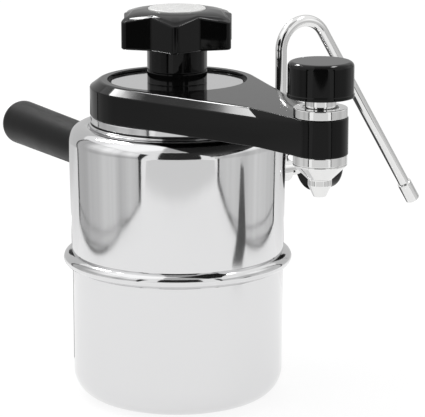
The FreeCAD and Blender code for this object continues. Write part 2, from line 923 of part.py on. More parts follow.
def make_basket():
    gasket = ring("basket_gasket", s.well_radius + s.rim_play, rim_radius, ledge, rim_bottom)
    inner = s.basket_radius - s.basket_wall
    floor_top = basket_floor + s.basket_wall
    basket = turned("coffee_basket", [
        (sleeve_radius, pan_bottom),
        (sleeve_outer, pan_bottom),
        (sleeve_outer, basket_floor),
        (s.basket_radius, basket_floor),
        (s.basket_radius, rim_bottom),
        (rim_radius, rim_bottom),
        (rim_radius, rim_top),
        (inner, rim_top),
        (inner, floor_top),
        (sleeve_outer, floor_top),
        (sleeve_outer, sleeve_top),
        (sleeve_radius, sleeve_top),
    ])
    sieve(basket, basket_floor, s.basket_wall)
    slope_foot = s.basket_radius - s.pan_depth
    slant = s.basket_wall * root(as_size(2))
    pan = turned("basket_pan", [
        (sleeve_outer, pan_bottom),
        (slope_foot, pan_bottom),
        (s.basket_radius, basket_floor),
        (s.basket_radius - slant, basket_floor),
        (slope_foot + s.basket_wall - slant, pan_bottom + s.basket_wall),
        (sleeve_outer, pan_bottom + s.basket_wall),
    ])
    hole = circle(new_sketch(pan, "XY_Plane", pan_bottom), s.riser_radius, -s.riser_offset)
    pocket(pan, hole, s.basket_wall)
    riser = ring(
        "riser_tube", s.riser_radius - s.riser_wall, s.riser_radius, s.riser_floor_gap,
        pan_bottom + s.basket_wall, (-s.riser_offset, 0, 0))
    return [gasket, basket, pan, riser]


def make_filter():
    plate = ring("upper_filter", sleeve_outer + s.rim_play, rim_radius, rim_top, filter_top)
    sieve(plate, rim_top, s.filter_thickness)
    return plate


# lid

def lid_outline(sketch, radius, taper):
    """A round plate whose two flanks run in to an arm that narrows to a round end."""
    lean, rise = sine(s.flank_angle), cosine(s.flank_angle)
    narrow, wide = sine(taper), cosine(taper)
    side = s.boss_radius + s.arm_reach * narrow
    turn = lean * wide - rise * narrow
    corner_x = (radius * wide - side * rise) / turn
    corner_y = (side * lean - radius * narrow) / turn
    touch_x = s.arm_reach + s.boss_radius * narrow
    touch_y = s.boss_radius * wide
    return draw(sketch, [
        (corner_x, -corner_y),
        (touch_x, -touch_y),
        (s.arm_reach + s.boss_radius, 0, s.boss_radius, 1),
        (touch_x, touch_y, s.boss_radius, 1),
        (corner_x, corner_y),
        (radius * lean, radius * rise),
        (-radius, 0, radius, 1),
        (radius * lean, -radius * rise, radius, 1),
    ])


def tube_shape(name, radius, foot, reach):
    """The coffee tube's outside or bore: up, round an elbow and along the arm."""
    return fuse(name, [
        cylinder(f"{name}_leg", radius, tube_axis - foot, (s.tube_offset, 0, foot)),
        ball_at(f"{name}_elbow", radius, (s.tube_offset, 0, tube_axis)),
        cylinder(f"{name}_run", radius, reach - s.tube_offset, (s.tube_offset, 0, tube_axis),
                 ALONG_X),
    ])


def ball_at(name, radius, at):
    thing = doc.addObject("Part::Sphere", name)
    thing.Radius = radius.value
    bind(thing, "Radius", radius)
    place(thing, at)
    return thing


def screw_places():
    for index in range(int(s.screw_count.value)):
        angle = s.screw_start + index * (as_size(360) / s.screw_count)
        yield index, s.screw_circle * cosine(angle), s.screw_circle * sine(angle)


def screw_shape(name, across, along):
    head_height = s.screw_head_radius - s.screw_radius
    head = doc.addObject("Part::Cone", f"{name}_head")
    for path, amount in (("Radius1", s.screw_head_radius), ("Radius2", s.screw_radius),
                         ("Height", head_height)):
        setattr(head, path, amount.value)
        bind(head, path, amount)
    place(head, (across, along, gasket_top))
    shank = cylinder(f"{name}_shank", s.screw_radius, s.screw_length, (across, along, gasket_top))
    return fuse(name, [head, shank])


def all_screws(label):
    return fuse(label, [
        screw_shape(f"{label}_{index}", across, along) for index, across, along in screw_places()])


def make_lid_arm():
    body = new_body("lid_casting")
    foot = lid_outline(new_sketch(body, "XY_Plane", lid_bottom), s.plate_radius, s.arm_taper)
    pad(body, foot, s.plate_thickness - s.bevel_drop)
    bevel = body.newObject("PartDesign::AdditiveLoft", "lid_bevel")
    bevel.Profile = lid_outline(
        new_sketch(body, "XY_Plane", bevel_foot), s.plate_radius, s.arm_taper)
    bevel.Sections = [lid_outline(
        new_sketch(body, "XY_Plane", plate_top), s.plate_radius - s.bevel_width,
        s.arm_taper_top)]
    bevel.Ruled = True
    recess_radius = s.disc_radius + s.disc_margin
    revolve(body, [
        (0, disc_bottom),
        (recess_radius, disc_bottom),
        (recess_radius, disc_top),
        (recess_radius + s.recess_flare, plate_top),
        (recess_radius + s.recess_flare, collar_top),
        (0, collar_top),
    ], cut=True)
    bores = fuse("lid_bores", [
        cylinder("bush_bore", s.bush_radius, s.plate_thickness, (0, 0, lid_bottom)),
        cylinder("valve_bore", s.valve_stem_radius, s.plate_thickness,
                 (s.arm_reach, 0, lid_bottom)),
        tube_shape("tube_way", s.tube_radius, lid_bottom, s.arm_reach),
        all_screws("screw_ways"),
    ])
    return cut("lid_arm", body, bores)


def make_lid_inside():
    disc = ring("top_disc", s.bush_radius, s.disc_radius, disc_bottom, disc_top)
    collar = ring("collar_ring", s.bush_radius, s.collar_radius, disc_top, collar_top)
    bush = ring("lid_bush", bush_bore, s.bush_radius, gasket_top, collar_top)
    plate_blank = ring("plate_blank", s.bush_radius, rim_radius, gasket_top, lid_bottom)
    plate = cut("lid_plate", plate_blank, fuse("plate_holes", [
        cylinder("plate_tube_hole", s.tube_radius, lid_bottom - gasket_top,
                 (s.tube_offset, 0, gasket_top)),
        all_screws("plate_screw_holes"),
    ]))
    gasket = ring("lid_gasket", s.gallery_radius, rim_radius, filter_top, gasket_top)
    post_gasket = ring("post_gasket", bush_bore, s.post_gasket_radius, sleeve_top, gasket_top)
    screws = all_screws("lid_screws")
    tube_end = s.arm_reach - s.chamber_radius - s.sleeve_play
    tube = cut("coffee_tube", tube_shape("tube_outside", s.tube_radius, gasket_top, tube_end),
               tube_shape("tube_inside", s.tube_bore, gasket_top, tube_end))
    return [disc, collar, bush, plate, gasket, post_gasket, screws, tube]


# coffee valve, on a vertical axis through the arm's boss

coffee_axis = (s.arm_reach, 0, 0)
ring_bottom = lid_bottom - s.ring_height
coffee_seat = lid_bottom + s.seat_height
ring_top = plate_top + s.ring_height
stem_top = ring_top - s.thread_grip
gland_top = ring_top + s.gland_height
coffee_knob_foot = gland_top + s.knob_clearance
coffee_spindle_end = coffee_knob_foot + s.coffee_spindle_grip


def make_coffee_valve():
    spigot_top = ring_bottom + s.spout_spigot_length
    stem = turned("valve_stem", [
        (s.spout_spigot, ring_bottom),
        (s.ring_radius, ring_bottom),
        (s.ring_radius, lid_bottom),
        (s.valve_stem_radius, lid_bottom),
        (s.valve_stem_radius, stem_top),
        (s.chamber_radius, stem_top),
        (s.chamber_radius, coffee_seat),
        (s.spout_bore, coffee_seat),
        (s.spout_bore, spigot_top),
        (s.spout_spigot, spigot_top),
    ], coffee_axis)
    side_way = cylinder("valve_side_way", s.tube_radius, s.valve_stem_radius,
                        (s.arm_reach - s.valve_stem_radius, 0, tube_axis), ALONG_X)
    body = cut("coffee_valve_body", stem, side_way)
    lock_ring = ring("coffee_lock_ring", s.valve_stem_radius, s.ring_radius, plate_top, ring_top,
                     coffee_axis)
    bore = s.spindle_radius + s.running_gap
    gland_foot = stem_top - s.gland_thread
    packing = ring("coffee_packing", bore, s.chamber_radius, gland_foot - s.packing_height,
                   gland_foot, coffee_axis)
    gland = turned("coffee_gland_nut", [
        (bore, gland_foot),
        (s.chamber_radius, gland_foot),
        (s.chamber_radius, stem_top),
        (s.gland_radius, stem_top),
        (s.gland_radius, gland_top),
        (bore, gland_top),
    ], coffee_axis)
    return [body, lock_ring, packing, gland]


def make_coffee_spout():
    cone_foot = ring_bottom - s.spout_cone
    neck_foot = cone_foot - s.spout_neck
    tip = neck_foot - s.spout_tip
    spigot_top = ring_bottom + s.spout_spigot_length
    return turned("coffee_spout", [
        (s.spout_bore, tip),
        (s.spout_tip_radius, tip),
        (s.spout_neck_radius, neck_foot),
        (s.spout_neck_radius, cone_foot),
        (s.ring_radius, ring_bottom),
        (s.spout_spigot, ring_bottom),
        (s.spout_spigot, spigot_top),
        (s.spout_bore, spigot_top),
    ], coffee_axis)


def make_coffee_drive():
    stalk = s.coffee_stalk_radius
    jumper_top = coffee_seat + s.jumper_thickness
    stalk_end = jumper_top + s.coffee_stalk_length
    jumper_radius = s.chamber_radius - s.jumper_play
    jumper = turned("coffee_jumper", [
        (0, coffee_seat),
        (jumper_radius, coffee_seat),
        (jumper_radius, jumper_top),
        (stalk, jumper_top),
        (stalk, stalk_end),
        (0, stalk_end),
    ], coffee_axis)
    spindle = make_spindle("coffee_spindle", s.spindle_radius, stalk, jumper_top, stalk_end,
                           coffee_spindle_end, coffee_axis)
    knob_end = coffee_knob_foot + s.coffee_knob_height
    round_foot = knob_end - s.coffee_knob_round
    knob = turned("coffee_knob", [
        (s.spindle_radius, coffee_knob_foot),
        (s.coffee_knob_radius, coffee_knob_foot),
        (s.coffee_knob_top_radius, round_foot),
        (s.coffee_knob_top_radius - s.coffee_knob_round, knob_end, s.coffee_knob_round, 1),
        (0, knob_end),
        (0, coffee_spindle_end),
        (s.spindle_radius, coffee_spindle_end),
    ], coffee_axis)
    return [jumper, spindle, knob]


# closing knob, which screws down the post

hub_foot = collar_top + s.knob_gap
head_foot = hub_foot + s.hub_height
knob_top = hub_foot + s.knob_height
washer_top = hub_foot + s.washer_thickness
washer_roof = washer_top + s.knob_gap
insert_top = washer_roof + s.insert_length


def lobe_outline(sketch):
    """One sixth of the knob's head: a rounded lobe between two notches."""
    half_turn = as_size(180) / s.lobe_count
    notch_x = s.notch_radius * cosine(half_turn)
    notch_y = s.notch_radius * sine(half_turn)
    centre_x = s.lobe_reach - s.lobe_radius
    reach = math.hypot(centre_x.value - notch_x.value, notch_y.value)
    lean = math.atan2(-notch_y.value, notch_x.value - centre_x.value)
    touch = lean + math.acos(s.lobe_radius.value / reach)
    touch_x = centre_x.value + s.lobe_radius.value * math.cos(touch)
    touch_y = s.lobe_radius.value * math.sin(touch)
    middle = FreeCAD.Vector(0, 0, 0)
    low = FreeCAD.Vector(notch_x.value, -notch_y.value, 0)
    high = FreeCAD.Vector(notch_x.value, notch_y.value, 0)
    low_touch = FreeCAD.Vector(touch_x, touch_y, 0)
    high_touch = FreeCAD.Vector(touch_x, -touch_y, 0)
    tip = FreeCAD.Vector(s.lobe_reach.value, 0, 0)
    in_line = sketch.addGeometry(Part.LineSegment(middle, low))
    low_line = sketch.addGeometry(Part.LineSegment(low, low_touch))
    arc = sketch.addGeometry(Part.Arc(low_touch, tip, high_touch))
    high_line = sketch.addGeometry(Part.LineSegment(high_touch, high))
    out_line = sketch.addGeometry(Part.LineSegment(high, middle))
    sketch.addConstraint(Sketcher.Constraint("Coincident", in_line, 1, -1, 1))
    sketch.addConstraint(Sketcher.Constraint("Coincident", in_line, 2, low_line, 1))
    sketch.addConstraint(Sketcher.Constraint("Tangent", low_line, 2, arc, 1))
    sketch.addConstraint(Sketcher.Constraint("Tangent", arc, 2, high_line, 1))
    sketch.addConstraint(Sketcher.Constraint("Coincident", high_line, 2, out_line, 1))
    sketch.addConstraint(Sketcher.Constraint("Coincident", out_line, 2, -1, 1))
    fix_point(sketch, in_line, 2, notch_x, -notch_y)
    fix_point(sketch, out_line, 1, notch_x, notch_y)
    fix_point(sketch, arc, 3, centre_x, as_size(0))
    number = sketch.addConstraint(Sketcher.Constraint("Radius", arc, s.lobe_radius.value))
    bind(sketch, f"Constraints[{number}]", s.lobe_radius)
    return sketch


def make_closing_knob():
    body = new_body("closing_knob", (0, 0, 0), FreeCAD.Rotation(s.lobe_direction.value, 0, 0))
    lobe = pad(body, lobe_outline(new_sketch(body, "XY_Plane", head_foot)), knob_top - head_foot)
    head = polar(body, lobe, s.lobe_count)
    doc.recompute()
    notches = [
        f"Edge{index}" for index, edge in enumerate(head.Shape.Edges, start=1) if is_notch(edge)]
    rounding = body.newObject("PartDesign::Fillet", "notch_rounds")
    rounding.Base = (head, notches)
    rounding.Radius = s.notch_round.value
    bind(rounding, "Radius", s.notch_round)
    shoulder = head_foot + s.lobe_side
    above = knob_top + s.cap_thickness
    rim = s.lobe_reach + s.lobe_radius
    revolve(body, [
        (s.cap_radius, knob_top),
        (s.lobe_reach, shoulder, s.dome_radius, -1),
        (rim, shoulder),
        (rim, above),
        (s.cap_radius, above),
    ], cut=True)
    revolve(body, [
        (0, hub_foot),
        (s.collar_radius, hub_foot),
        (s.collar_radius, insert_top),
        (0, insert_top),
    ])
    revolve(body, [
        (0, hub_foot),
        (s.washer_radius + s.knob_gap, hub_foot),
        (s.washer_radius + s.knob_gap, washer_roof),
        (s.insert_radius, washer_roof),
        (s.insert_radius, insert_top),
        (0, insert_top),
    ], cut=True)
    cap_foot = knob_top - s.cap_thickness + s.cap_proud
    revolve(body, [
        (0, cap_foot),
        (s.cap_radius, cap_foot),
        (s.cap_radius, above),
        (0, above),
    ], cut=True)
    cap = ring("knob_cap", 0, s.cap_radius, cap_foot, cap_foot + s.cap_thickness)
    insert = ring("knob_insert", s.post_radius + s.running_gap, s.insert_radius,
                  washer_roof, insert_top)
    washer = ring("knob_washer", sleeve_radius, s.washer_radius, hub_foot, washer_top)
    return [body, cap, insert, washer]


def is_notch(edge):
    """An upright edge at the bottom of a notch between two lobes."""
    first, last = edge.Vertexes[0].Point, edge.Vertexes[-1].Point
    upright = abs(first.x - last.x) < 0.001 and abs(first.y - last.y) < 0.001
    near = abs(math.hypot(first.x, first.y) - s.notch_radius.value) < 0.01
    return upright and near and edge.Length > 1


def main():
    pieces = [make_boiler_cup(), make_boiler_shell(), make_neck_ring(), make_post_bridge(),
              make_clamp_post()]
    pieces += make_handle()
    pieces += [make_steam_boss(), make_steam_valve_body()]
    pieces += make_steam_valve() + make_wand() + make_wand_nut() + make_safety_valve()
    pieces += make_basket() + [make_filter(), make_lid_arm()] + make_lid_inside()
    pieces += make_coffee_valve() + [make_coffee_spout()] + make_coffee_drive()
    pieces += make_closing_knob()
    doc.recompute()
    for thing in doc.Objects:
        if "Invalid" in thing.State or "Error" in thing.State:
            raise RuntimeError(f"{thing.Label} did not build: {thing.State}")
    os.makedirs("parts", exist_ok=True)
    for piece in pieces:
        shape = piece.Shape
        if shape.isNull() or not shape.isValid():
            raise RuntimeError(f"{piece.Label} has no valid shape")
        shape.exportStep(f"parts/{piece.Label}.step")
        print(f"{piece.Label}: {len(shape.Solids)} solids, {shape.Volume:.1f} mm3")
    print(f"{len(pieces)} pieces")


main()
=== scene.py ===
import math
from collections import namedtuple

import bmesh
import bpy
from bpy.props import FloatProperty, FloatVectorProperty, IntProperty, PointerProperty
from mathutils import Matrix, Vector


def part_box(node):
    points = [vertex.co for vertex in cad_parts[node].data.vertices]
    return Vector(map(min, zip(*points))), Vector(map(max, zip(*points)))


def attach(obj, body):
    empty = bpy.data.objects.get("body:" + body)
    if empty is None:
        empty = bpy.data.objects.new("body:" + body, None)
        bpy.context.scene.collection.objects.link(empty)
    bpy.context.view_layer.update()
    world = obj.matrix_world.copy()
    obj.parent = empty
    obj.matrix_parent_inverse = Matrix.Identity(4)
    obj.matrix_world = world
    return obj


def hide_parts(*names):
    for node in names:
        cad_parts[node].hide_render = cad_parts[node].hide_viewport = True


# Dressed model of a stovetop espresso maker: mirror polished boiler, black lid with
# a long arm, coffee valve, steam valve with its wand, and a side handle.
# Metres, +Z up, the arm along +X, the handle along -X, the steam valve along +Y.

bl_info = {
    "name": "Espresso maker",
    "version": (1, 0, 0),
    "blender": (4, 5, 0),
    "location": "View3D > Sidebar > Espresso maker",
    "description": "Builds the visible pieces of a stovetop espresso maker round its CAD model",
    "category": "Object",
}

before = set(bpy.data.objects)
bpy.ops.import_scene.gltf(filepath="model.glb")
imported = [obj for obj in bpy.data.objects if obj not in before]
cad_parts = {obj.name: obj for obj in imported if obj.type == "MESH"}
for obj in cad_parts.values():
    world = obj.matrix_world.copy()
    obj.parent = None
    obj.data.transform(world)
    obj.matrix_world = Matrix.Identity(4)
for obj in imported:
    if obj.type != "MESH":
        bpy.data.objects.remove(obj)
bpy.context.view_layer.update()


def low(node):
    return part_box(node)[0]


def high(node):
    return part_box(node)[1]


def reach(node, centre=0.0):
    """How far a round upright piece reaches from its axis, along X."""
    return high(node).x - centre


ARM_END = (low("coffee_spindle").x + high("coffee_spindle").x) / 2
WAND_PORT = (low("wand_nut").y + high("wand_nut").y) / 2
STEAM_AXIS = (low("steam_knob").z + high("steam_knob").z) / 2
# between a valve's spindle and its nut
SPINDLE_GAP = 0.00005


def length(name, description, default):
    return FloatProperty(name=name, description=description, default=default, unit="LENGTH",
                         precision=5)


def position(name, description, default):
    return FloatVectorProperty(name=name, description=description, default=default, size=3,
                               unit="LENGTH", precision=5)


def angle(name, description, degrees):
    return FloatProperty(name=name, description=description, default=math.radians(degrees),
                         subtype="ANGLE")


def colour(name, description, default):
    return FloatVectorProperty(name=name, description=description, default=default, size=3,
                               min=0.0, max=1.0, subtype="COLOR")


class BoilerSizes(bpy.types.PropertyGroup):
    cup_radius: length("Cup radius", "Outside of the lower cup", 0.0533)
    cup_corner: length("Cup corner", "Rounding between the cup's wall and its base", 0.014)
    wall: length("Wall", "Thickness of the cup and the shell", 0.0012)
    seam_height: length("Seam height", "Middle of the rolled seam", 0.0722)
    seam_radius: length("Seam radius", "Widest part of the rolled seam", reach("boiler_cup"))
    seam_half: length("Seam half height", "Half the height of the rolled seam", 0.0037)
    seam_step: length("Seam step", "Height over which the wall runs in under the seam", 0.0004)
    seam_lip: length("Seam lip", "How far it runs in there", 0.0002)
    seam_fillet: length("Seam fillet", "Rounding of the wall there", 0.0006)
    shell_foot: length("Shell foot", "Outside of the upper shell at the seam", 0.0536)
    shell_top: length("Shell top", "Outside of the upper shell below its shoulder",
                      reach("boiler_shell"))
    crest: length("Crest", "Highest line of the shell's shoulder", high("boiler_shell").z)
    crest_rise: length("Crest rise", "How far that line stands above the neck ring's seat",
                       0.0017)
    crest_round: length("Crest rounding", "Rounding between the shell's wall and the crest",
                        0.0078)
    seat_radius: length("Seat radius", "Where the shell rolls in to the neck ring's seat", 0.0446)
    mouth: length("Mouth", "Radius of the hole in the shell's top", 0.040)
    neck_radius: length("Neck radius", "Widest part of the neck ring", 0.0442)
    bead_height: length("Bead height", "Height of the ring's lower bead", 0.0026)
    groove: length("Groove", "Height of the groove above the bead", 0.0007)
    groove_depth: length("Groove depth", "Depth of that groove", 0.0012)
    groove_round: length("Groove rounding", "Rounding in that groove's corners", 0.0001)
    band_radius: length("Band radius", "Outside of the ring's upper band", 0.0436)
    band_foot: length("Band foot", "Rounding of the band's lower edge", 0.00035)
    band_top: length("Band top", "Rounding of the band's upper edge", 0.0007)
    well: length("Well radius", "Inside of the well that holds the basket", 0.0336)
    well_wall: length("Well wall", "Thickness of that well", 0.0026)
    well_round: length("Well rounding", "Rounding of the well's edges", 0.0003)
    spigot_drop: length("Spigot drop", "How far the ring reaches into the shell", 0.0104)
    spigot_round: length("Spigot rounding", "Rounding of the ring's lower end", 0.0004)
    gasket_bore: length("Gasket bore", "Bore above the ledge", 0.0365)
    bore_round: length("Bore rounding", "Rounding of that bore's upper edge", 0.0005)
    inner_round: length("Inner rounding", "Rounding in the ring's inner corners", 0.0002)
    ledge: length("Ledge", "Height of the ledge that the basket rests on",
                  low("basket_gasket").z)
    post_radius: length("Post radius", "Outside of the post's thread", 0.004)
    post_chamfer: length("Post chamfer", "Height of the taper at the post's tip", 0.001)
    post_tip: length("Post tip", "How much narrower the tip is than the thread's root", 0.0004)
    thread_pitch: length("Thread pitch", "Rise of the closing post's thread in one turn", 0.00125)
    thread_depth: length("Thread depth", "Depth of the closing post's thread", 0.0007)


class HandleSizes(bpy.types.PropertyGroup):
    height: length("Height", "Where the handle's axis meets the boiler's axis", 0.1105)
    tilt: angle("Tilt", "How much the handle rises towards its end", 1.7)
    foot: length("Foot", "Where the grip starts, inside the shell's wall", 0.05315)
    reach: length("Reach", "End of the grip, along its axis", 0.162)
    root_radius: length("Root radius", "Grip radius at the boiler", 0.0109)
    end_radius: length("End radius", "Grip radius at its free end", 0.0121)
    end_round: length("End rounding", "Rounding of the grip's end", 0.005)
    foot_round: length("Foot rounding", "Rounding of the grip's foot", 0.0002)
    bore: length("Bore", "Radius of the hole in the grip's foot", 0.00763)
    bore_depth: length("Bore depth", "Depth of that hole", 0.006)


class LidSizes(bpy.types.PropertyGroup):
    plate_radius: length("Plate radius", "Round part of the lid", 0.0438)
    bevel_width: length("Bevel width", "Width of the slope round the plate", 0.0048)
    bevel_drop: length("Bevel drop", "Height of that slope", 0.0035)
    flank: angle("Flank", "How fast the plate's flanks run in towards the arm", 17.9)
    taper: angle("Taper", "How fast the arm's sides run in at their foot", 6.0)
    taper_top: angle("Taper at the top", "How fast they run in at the top", 2.0)
    boss_radius: length("Boss radius", "Round end of the arm", 0.013)
    stem_radius: length("Stem radius", "Bore for the coffee valve", 0.0085)
    disc_radius: length("Disc radius", "Polished disc in the plate's top", reach("top_disc"))
    disc_edge: length("Disc edge", "Rounding of the disc's edges", 0.0001)
    disc_margin: length("Disc margin", "Gap between disc and recess", 0.0020)
    disc_sink: length("Disc sink", "How far the disc's face lies below the collar's foot", 0.0006)
    edge: length("Edge", "Rounding along the slope's upper edge", 0.0016)
    collar_edge: length("Collar edge", "Rounding of the collar's edges", 0.0005)
    arc_steps: IntProperty(name="Arc steps", description="Points in the plate's round outline",
                           default=160, min=24)


class ClosingKnobSizes(bpy.types.PropertyGroup):
    lobes: IntProperty(name="Lobes", description="Lobes round the closing knob", default=6, min=3)
    direction: angle("Direction", "Where the first lobe points", 25.0)
    apex: length("Apex", "Where the flanks of a lobe would meet", 0.0321)
    lobe_round: length("Lobe rounding", "Rounding of a lobe's tip", 0.0032)
    notch: length("Notch", "Distance of a notch from the axis", 0.0236)
    notch_round: length("Notch rounding", "Rounding of a notch", 0.0025)
    hub_radius: length("Hub radius", "Round hub below the lobes", reach("collar_ring"))
    hub_height: length("Hub height", "Height of that hub", 0.0125)
    hub_round: length("Hub rounding", "Rounding of the hub's foot", 0.0003)
    hub_fillet: length("Hub fillet", "Height of the flare from the hub to the lobes", 0.0008)
    lobe_foot: length("Lobe foot", "Rounding along the foot of the lobes", 0.0006)
    dome_radius: length("Dome radius", "Curve of the lobes' top", 0.032)
    dome_edge: length("Dome edge", "Height of the lobe tips above the hub's foot", 0.0263)
    cap_radius: length("Cap radius", "Round white cap", reach("knob_cap"))
    cap_crown: length("Cap crown", "How far the cap's middle stands above the dome's rim", 0.0004)
    cap_edge: length("Cap edge", "Rounding of the cap's edge", 0.0006)
    cap_foot: length("Cap foot", "Rounding of the cap's foot", 0.0002)
    cap_slope: length("Cap slope", "How far the cap falls towards its edge", 0.0002)
    cap_round: length("Cap rounding", "Rounding between that slope and the middle", 0.004)
    rim_round: length("Rim rounding", "Slope round the cap's recess", 0.0003)
    fit: length("Fit", "Gap round the cap and the washer", 0.0001)
    edge: length("Edge", "Width of the rounding along the top of the lobes", 0.0011)
    edge_height: length("Edge height", "Height of that rounding", 0.00088)


class CoffeeValveSizes(bpy.types.PropertyGroup):
    stem_radius: length("Stem radius", "Threaded stem of the valve body", 0.0085)
    chamber: length("Chamber", "Radius of the chamber in the valve body", 0.0045)
    seat_height: length("Seat height", "Valve seat above the arm's underside", 0.0019)
    socket_radius: length("Socket radius", "Hole in the valve body that takes the spout", 0.006)
    socket_wall: length("Socket wall", "Metal between that hole and the arm's underside", 0.001)
    ring_round: length("Ring rounding", "Rounding of the valve's rings", 0.0005)
    gland_foot: length("Gland foot", "Rounding of the gland nut's lower edge", 0.0004)
    gland_top: length("Gland top", "Rounding of its upper edge", 0.0008)
    cone_drop: length("Cone drop", "Height of the spout's upper cone", 0.0074)
    neck_radius: length("Neck radius", "Short cylinder below that cone", 0.0056)
    neck_drop: length("Neck drop", "Height of that cylinder", 0.0027)
    tip_radius: length("Tip radius", "Spout's lower end", 0.0030)
    spout_bore: length("Spout bore", "Radius of the coffee's way out", 0.002)
    spout_rim: length("Spout rim", "Height of the spout's upright rim", 0.0006)
    cone_round: length("Cone rounding", "Rounding between that rim and the cone", 0.0008)
    neck_top_round: length("Neck top rounding", "Rounding at the short cylinder's top", 0.0006)
    neck_foot_round: length("Neck foot rounding", "Rounding at its foot", 0.0005)
    knob_top: length("Knob top", "Radius of the knob at its top", 0.0154)
    knob_round: length("Knob rounding", "Rounding of the knob's top edge", 0.0024)


class SteamSizes(bpy.types.PropertyGroup):
    neck_radius: length("Neck radius", "Valve neck and gland nut", 0.0035)
    gland_spigot: length("Gland spigot", "How much narrower the nut is inside the neck", 0.0009)
    groove_start: length("Groove start", "Nut's groove above the end of the neck", 0.0045)
    groove_end: length("Groove end", "Far side of that groove", 0.0065)
    groove_depth: length("Groove depth", "Depth of that groove", 0.0006)
    groove_slope: length("Groove slope", "Length of the groove's sloping sides", 0.0005)
    gland_round: length("Gland rounding", "Rounding of the nut's outer end", 0.0005)
    knob_taper: length("Knob taper", "How much narrower the knob is at its outer end", 0.0002)
    knob_round: length("Knob rounding", "Rounding of the knob's outer edge", 0.003)
    wand_radius: length("Wand radius", "Outside of the steam wand", 0.003)
    wand_seat: length("Wand seat", "How far above the valve's axis the wand starts", 0.0037)
    wand_bend: length("Wand bend", "Radius of the wand's bend", 0.0144)
    bend_height: length("Bend height", "Where the bend starts", 0.171)
    slope: angle("Slope", "How far the wand's leg leans out from the vertical", 32.5)
    drop: length("Drop", "Length of the leg", 0.1135)
    nozzle_radius: length("Nozzle radius", "Nozzle at the wand's end", 0.0038)
    nozzle_back: length("Nozzle back", "How far the nozzle reaches up the tube", 0.0105)
    nozzle_front: length("Nozzle front", "How far it stands past the tube", 0.0015)
    nozzle_round: length("Nozzle back rounding", "Slope at the nozzle's back end", 0.0005)
    nozzle_slope: length("Nozzle slope", "Length of the slope at its front end", 0.0004)
    nozzle_tip: length("Nozzle tip", "How much wider the nozzle's tip is than the tube", 0.0003)
    nozzle_bore: length("Nozzle bore", "Radius of the steam's way out", 0.0008)
    bore_edge: length("Bore edge", "Rounding of that hole's edge", 0.0001)
    coil_radius: length("Coil radius", "Safety valve spring, to its wire's middle", 0.0016)
    coil_height: length("Coil height", "Length of that spring", 0.0055)
    coil_turns: FloatProperty(name="Coil turns", description="Turns of that spring", default=4.0)
    wire_radius: length("Wire radius", "Wire of that spring", 0.00035)


class Finishes(bpy.types.PropertyGroup):
    steel: colour("Steel", "Mirror polished steel", (0.72, 0.72, 0.725))
    chrome: colour("Chrome", "Chrome plate on brass", (0.79, 0.79, 0.785))
    inner_steel: colour("Inner steel", "Satin steel inside", (0.60, 0.60, 0.60))
    brass: colour("Brass", "Turned brass", (0.72, 0.50, 0.20))
    gloss_black: colour("Gloss black", "Moulded lid and knobs", (0.004, 0.004, 0.004))
    satin_black: colour("Satin black", "Handle grip", (0.009, 0.009, 0.009))
    white: colour("White", "Bare cap on the closing knob", (0.90, 0.90, 0.89))
    seal: colour("Seal", "Rubber gaskets", (0.16, 0.12, 0.10))
    packing: colour("Packing", "Valve packings", (0.80, 0.80, 0.77))


class StageSettings(bpy.types.PropertyGroup):
    away: length("Away", "Camera's level distance along its line of sight", 1.210)
    aside: length("Aside", "Camera's level distance to its right", 0.01766)
    height: length("Height", "Camera height", 0.3784)
    azimuth: angle("Azimuth", "Camera direction round the object", 56.0)
    pitch: angle("Pitch", "How far the camera looks down", 13.13)
    focal_pixels: FloatProperty(name="Focal length", description="In pixels of the photograph",
                                default=2453.0)
    photo_width: IntProperty(name="Photo width", description="Photograph width in pixels",
                             default=425)
    ambient: FloatProperty(name="Ambient", description="Even light from all sides", default=0.75)
    key: FloatProperty(name="Key light", description="Power of the soft light above, in watts",
                       default=4.0)
    key_size: length("Key size", "Width of that light", 1.2)
    key_place: position("Key place", "Where that light hangs", (-0.2, -0.6, 1.3))
    key_aim: position("Key aim", "What it points at", (0.0, 0.0, 0.1))
    floor_size: length("Floor size", "Half the width of the floor", 6.0)
    floor_drop: length("Floor drop", "How far the floor lies under the base", 0.0002)
    floor_grey: FloatProperty(name="Floor grey", description="Light that the floor gives back",
                              default=0.30)
    floor_level: FloatProperty(name="Floor level", default=0.78,
                               description="Floor's brightness, as camera and metal see it")
    wall_height: length("Wall height", "Height of the grey side walls", 0.36)
    wall_edge: length("Wall edge", "Width of the dark edges of the side walls", 0.022)
    wall_flare: length("Wall flare", "How far the front edges widen towards their top", 0.07)
    trim_gap: length("Trim gap", "How far a wall's dark edges stand in front of it", 0.002)
    line_gap: length("Line gap", "How far the lines along a wall stand in front of it", 0.003)
    top_trim: length("Top trim", "Height of the dark line along a wall's top", 0.004)
    foot_trim: length("Foot trim", "Height of the dark line along a wall's foot", 0.0028)
    line_width: length("Line width", "Height of the lines along a wall", 0.0014)


# outlines

# An arc's points are no further apart than a step and a chord. A support is a point close
# to a rounding, which keeps the flat beside it flat. A rounding takes up no more than most of
# a side, and a corner that is almost straight gets none.
ARC_STEP = math.radians(7.5)
ARC_CHORD = 0.0006
SUPPORT = 0.0003
SUPPORT_SHARE = 0.08
MOST_OF_A_SIDE = 0.46
STRAIGHT = math.radians(89)
BOILER_STEPS = 384
ROUND_STEPS = 96


def arc(across, along, radius, start, end):
    """Points on an arc of an outline about one centre, from one angle to another."""
    steps = max(math.ceil(abs(end - start) / ARC_STEP),
                math.ceil(abs(end - start) * radius / ARC_CHORD))
    turns = [start + (end - start) * step / steps for step in range(steps + 1)]
    return [(across + radius * math.cos(turn), along + radius * math.sin(turn)) for turn in turns]


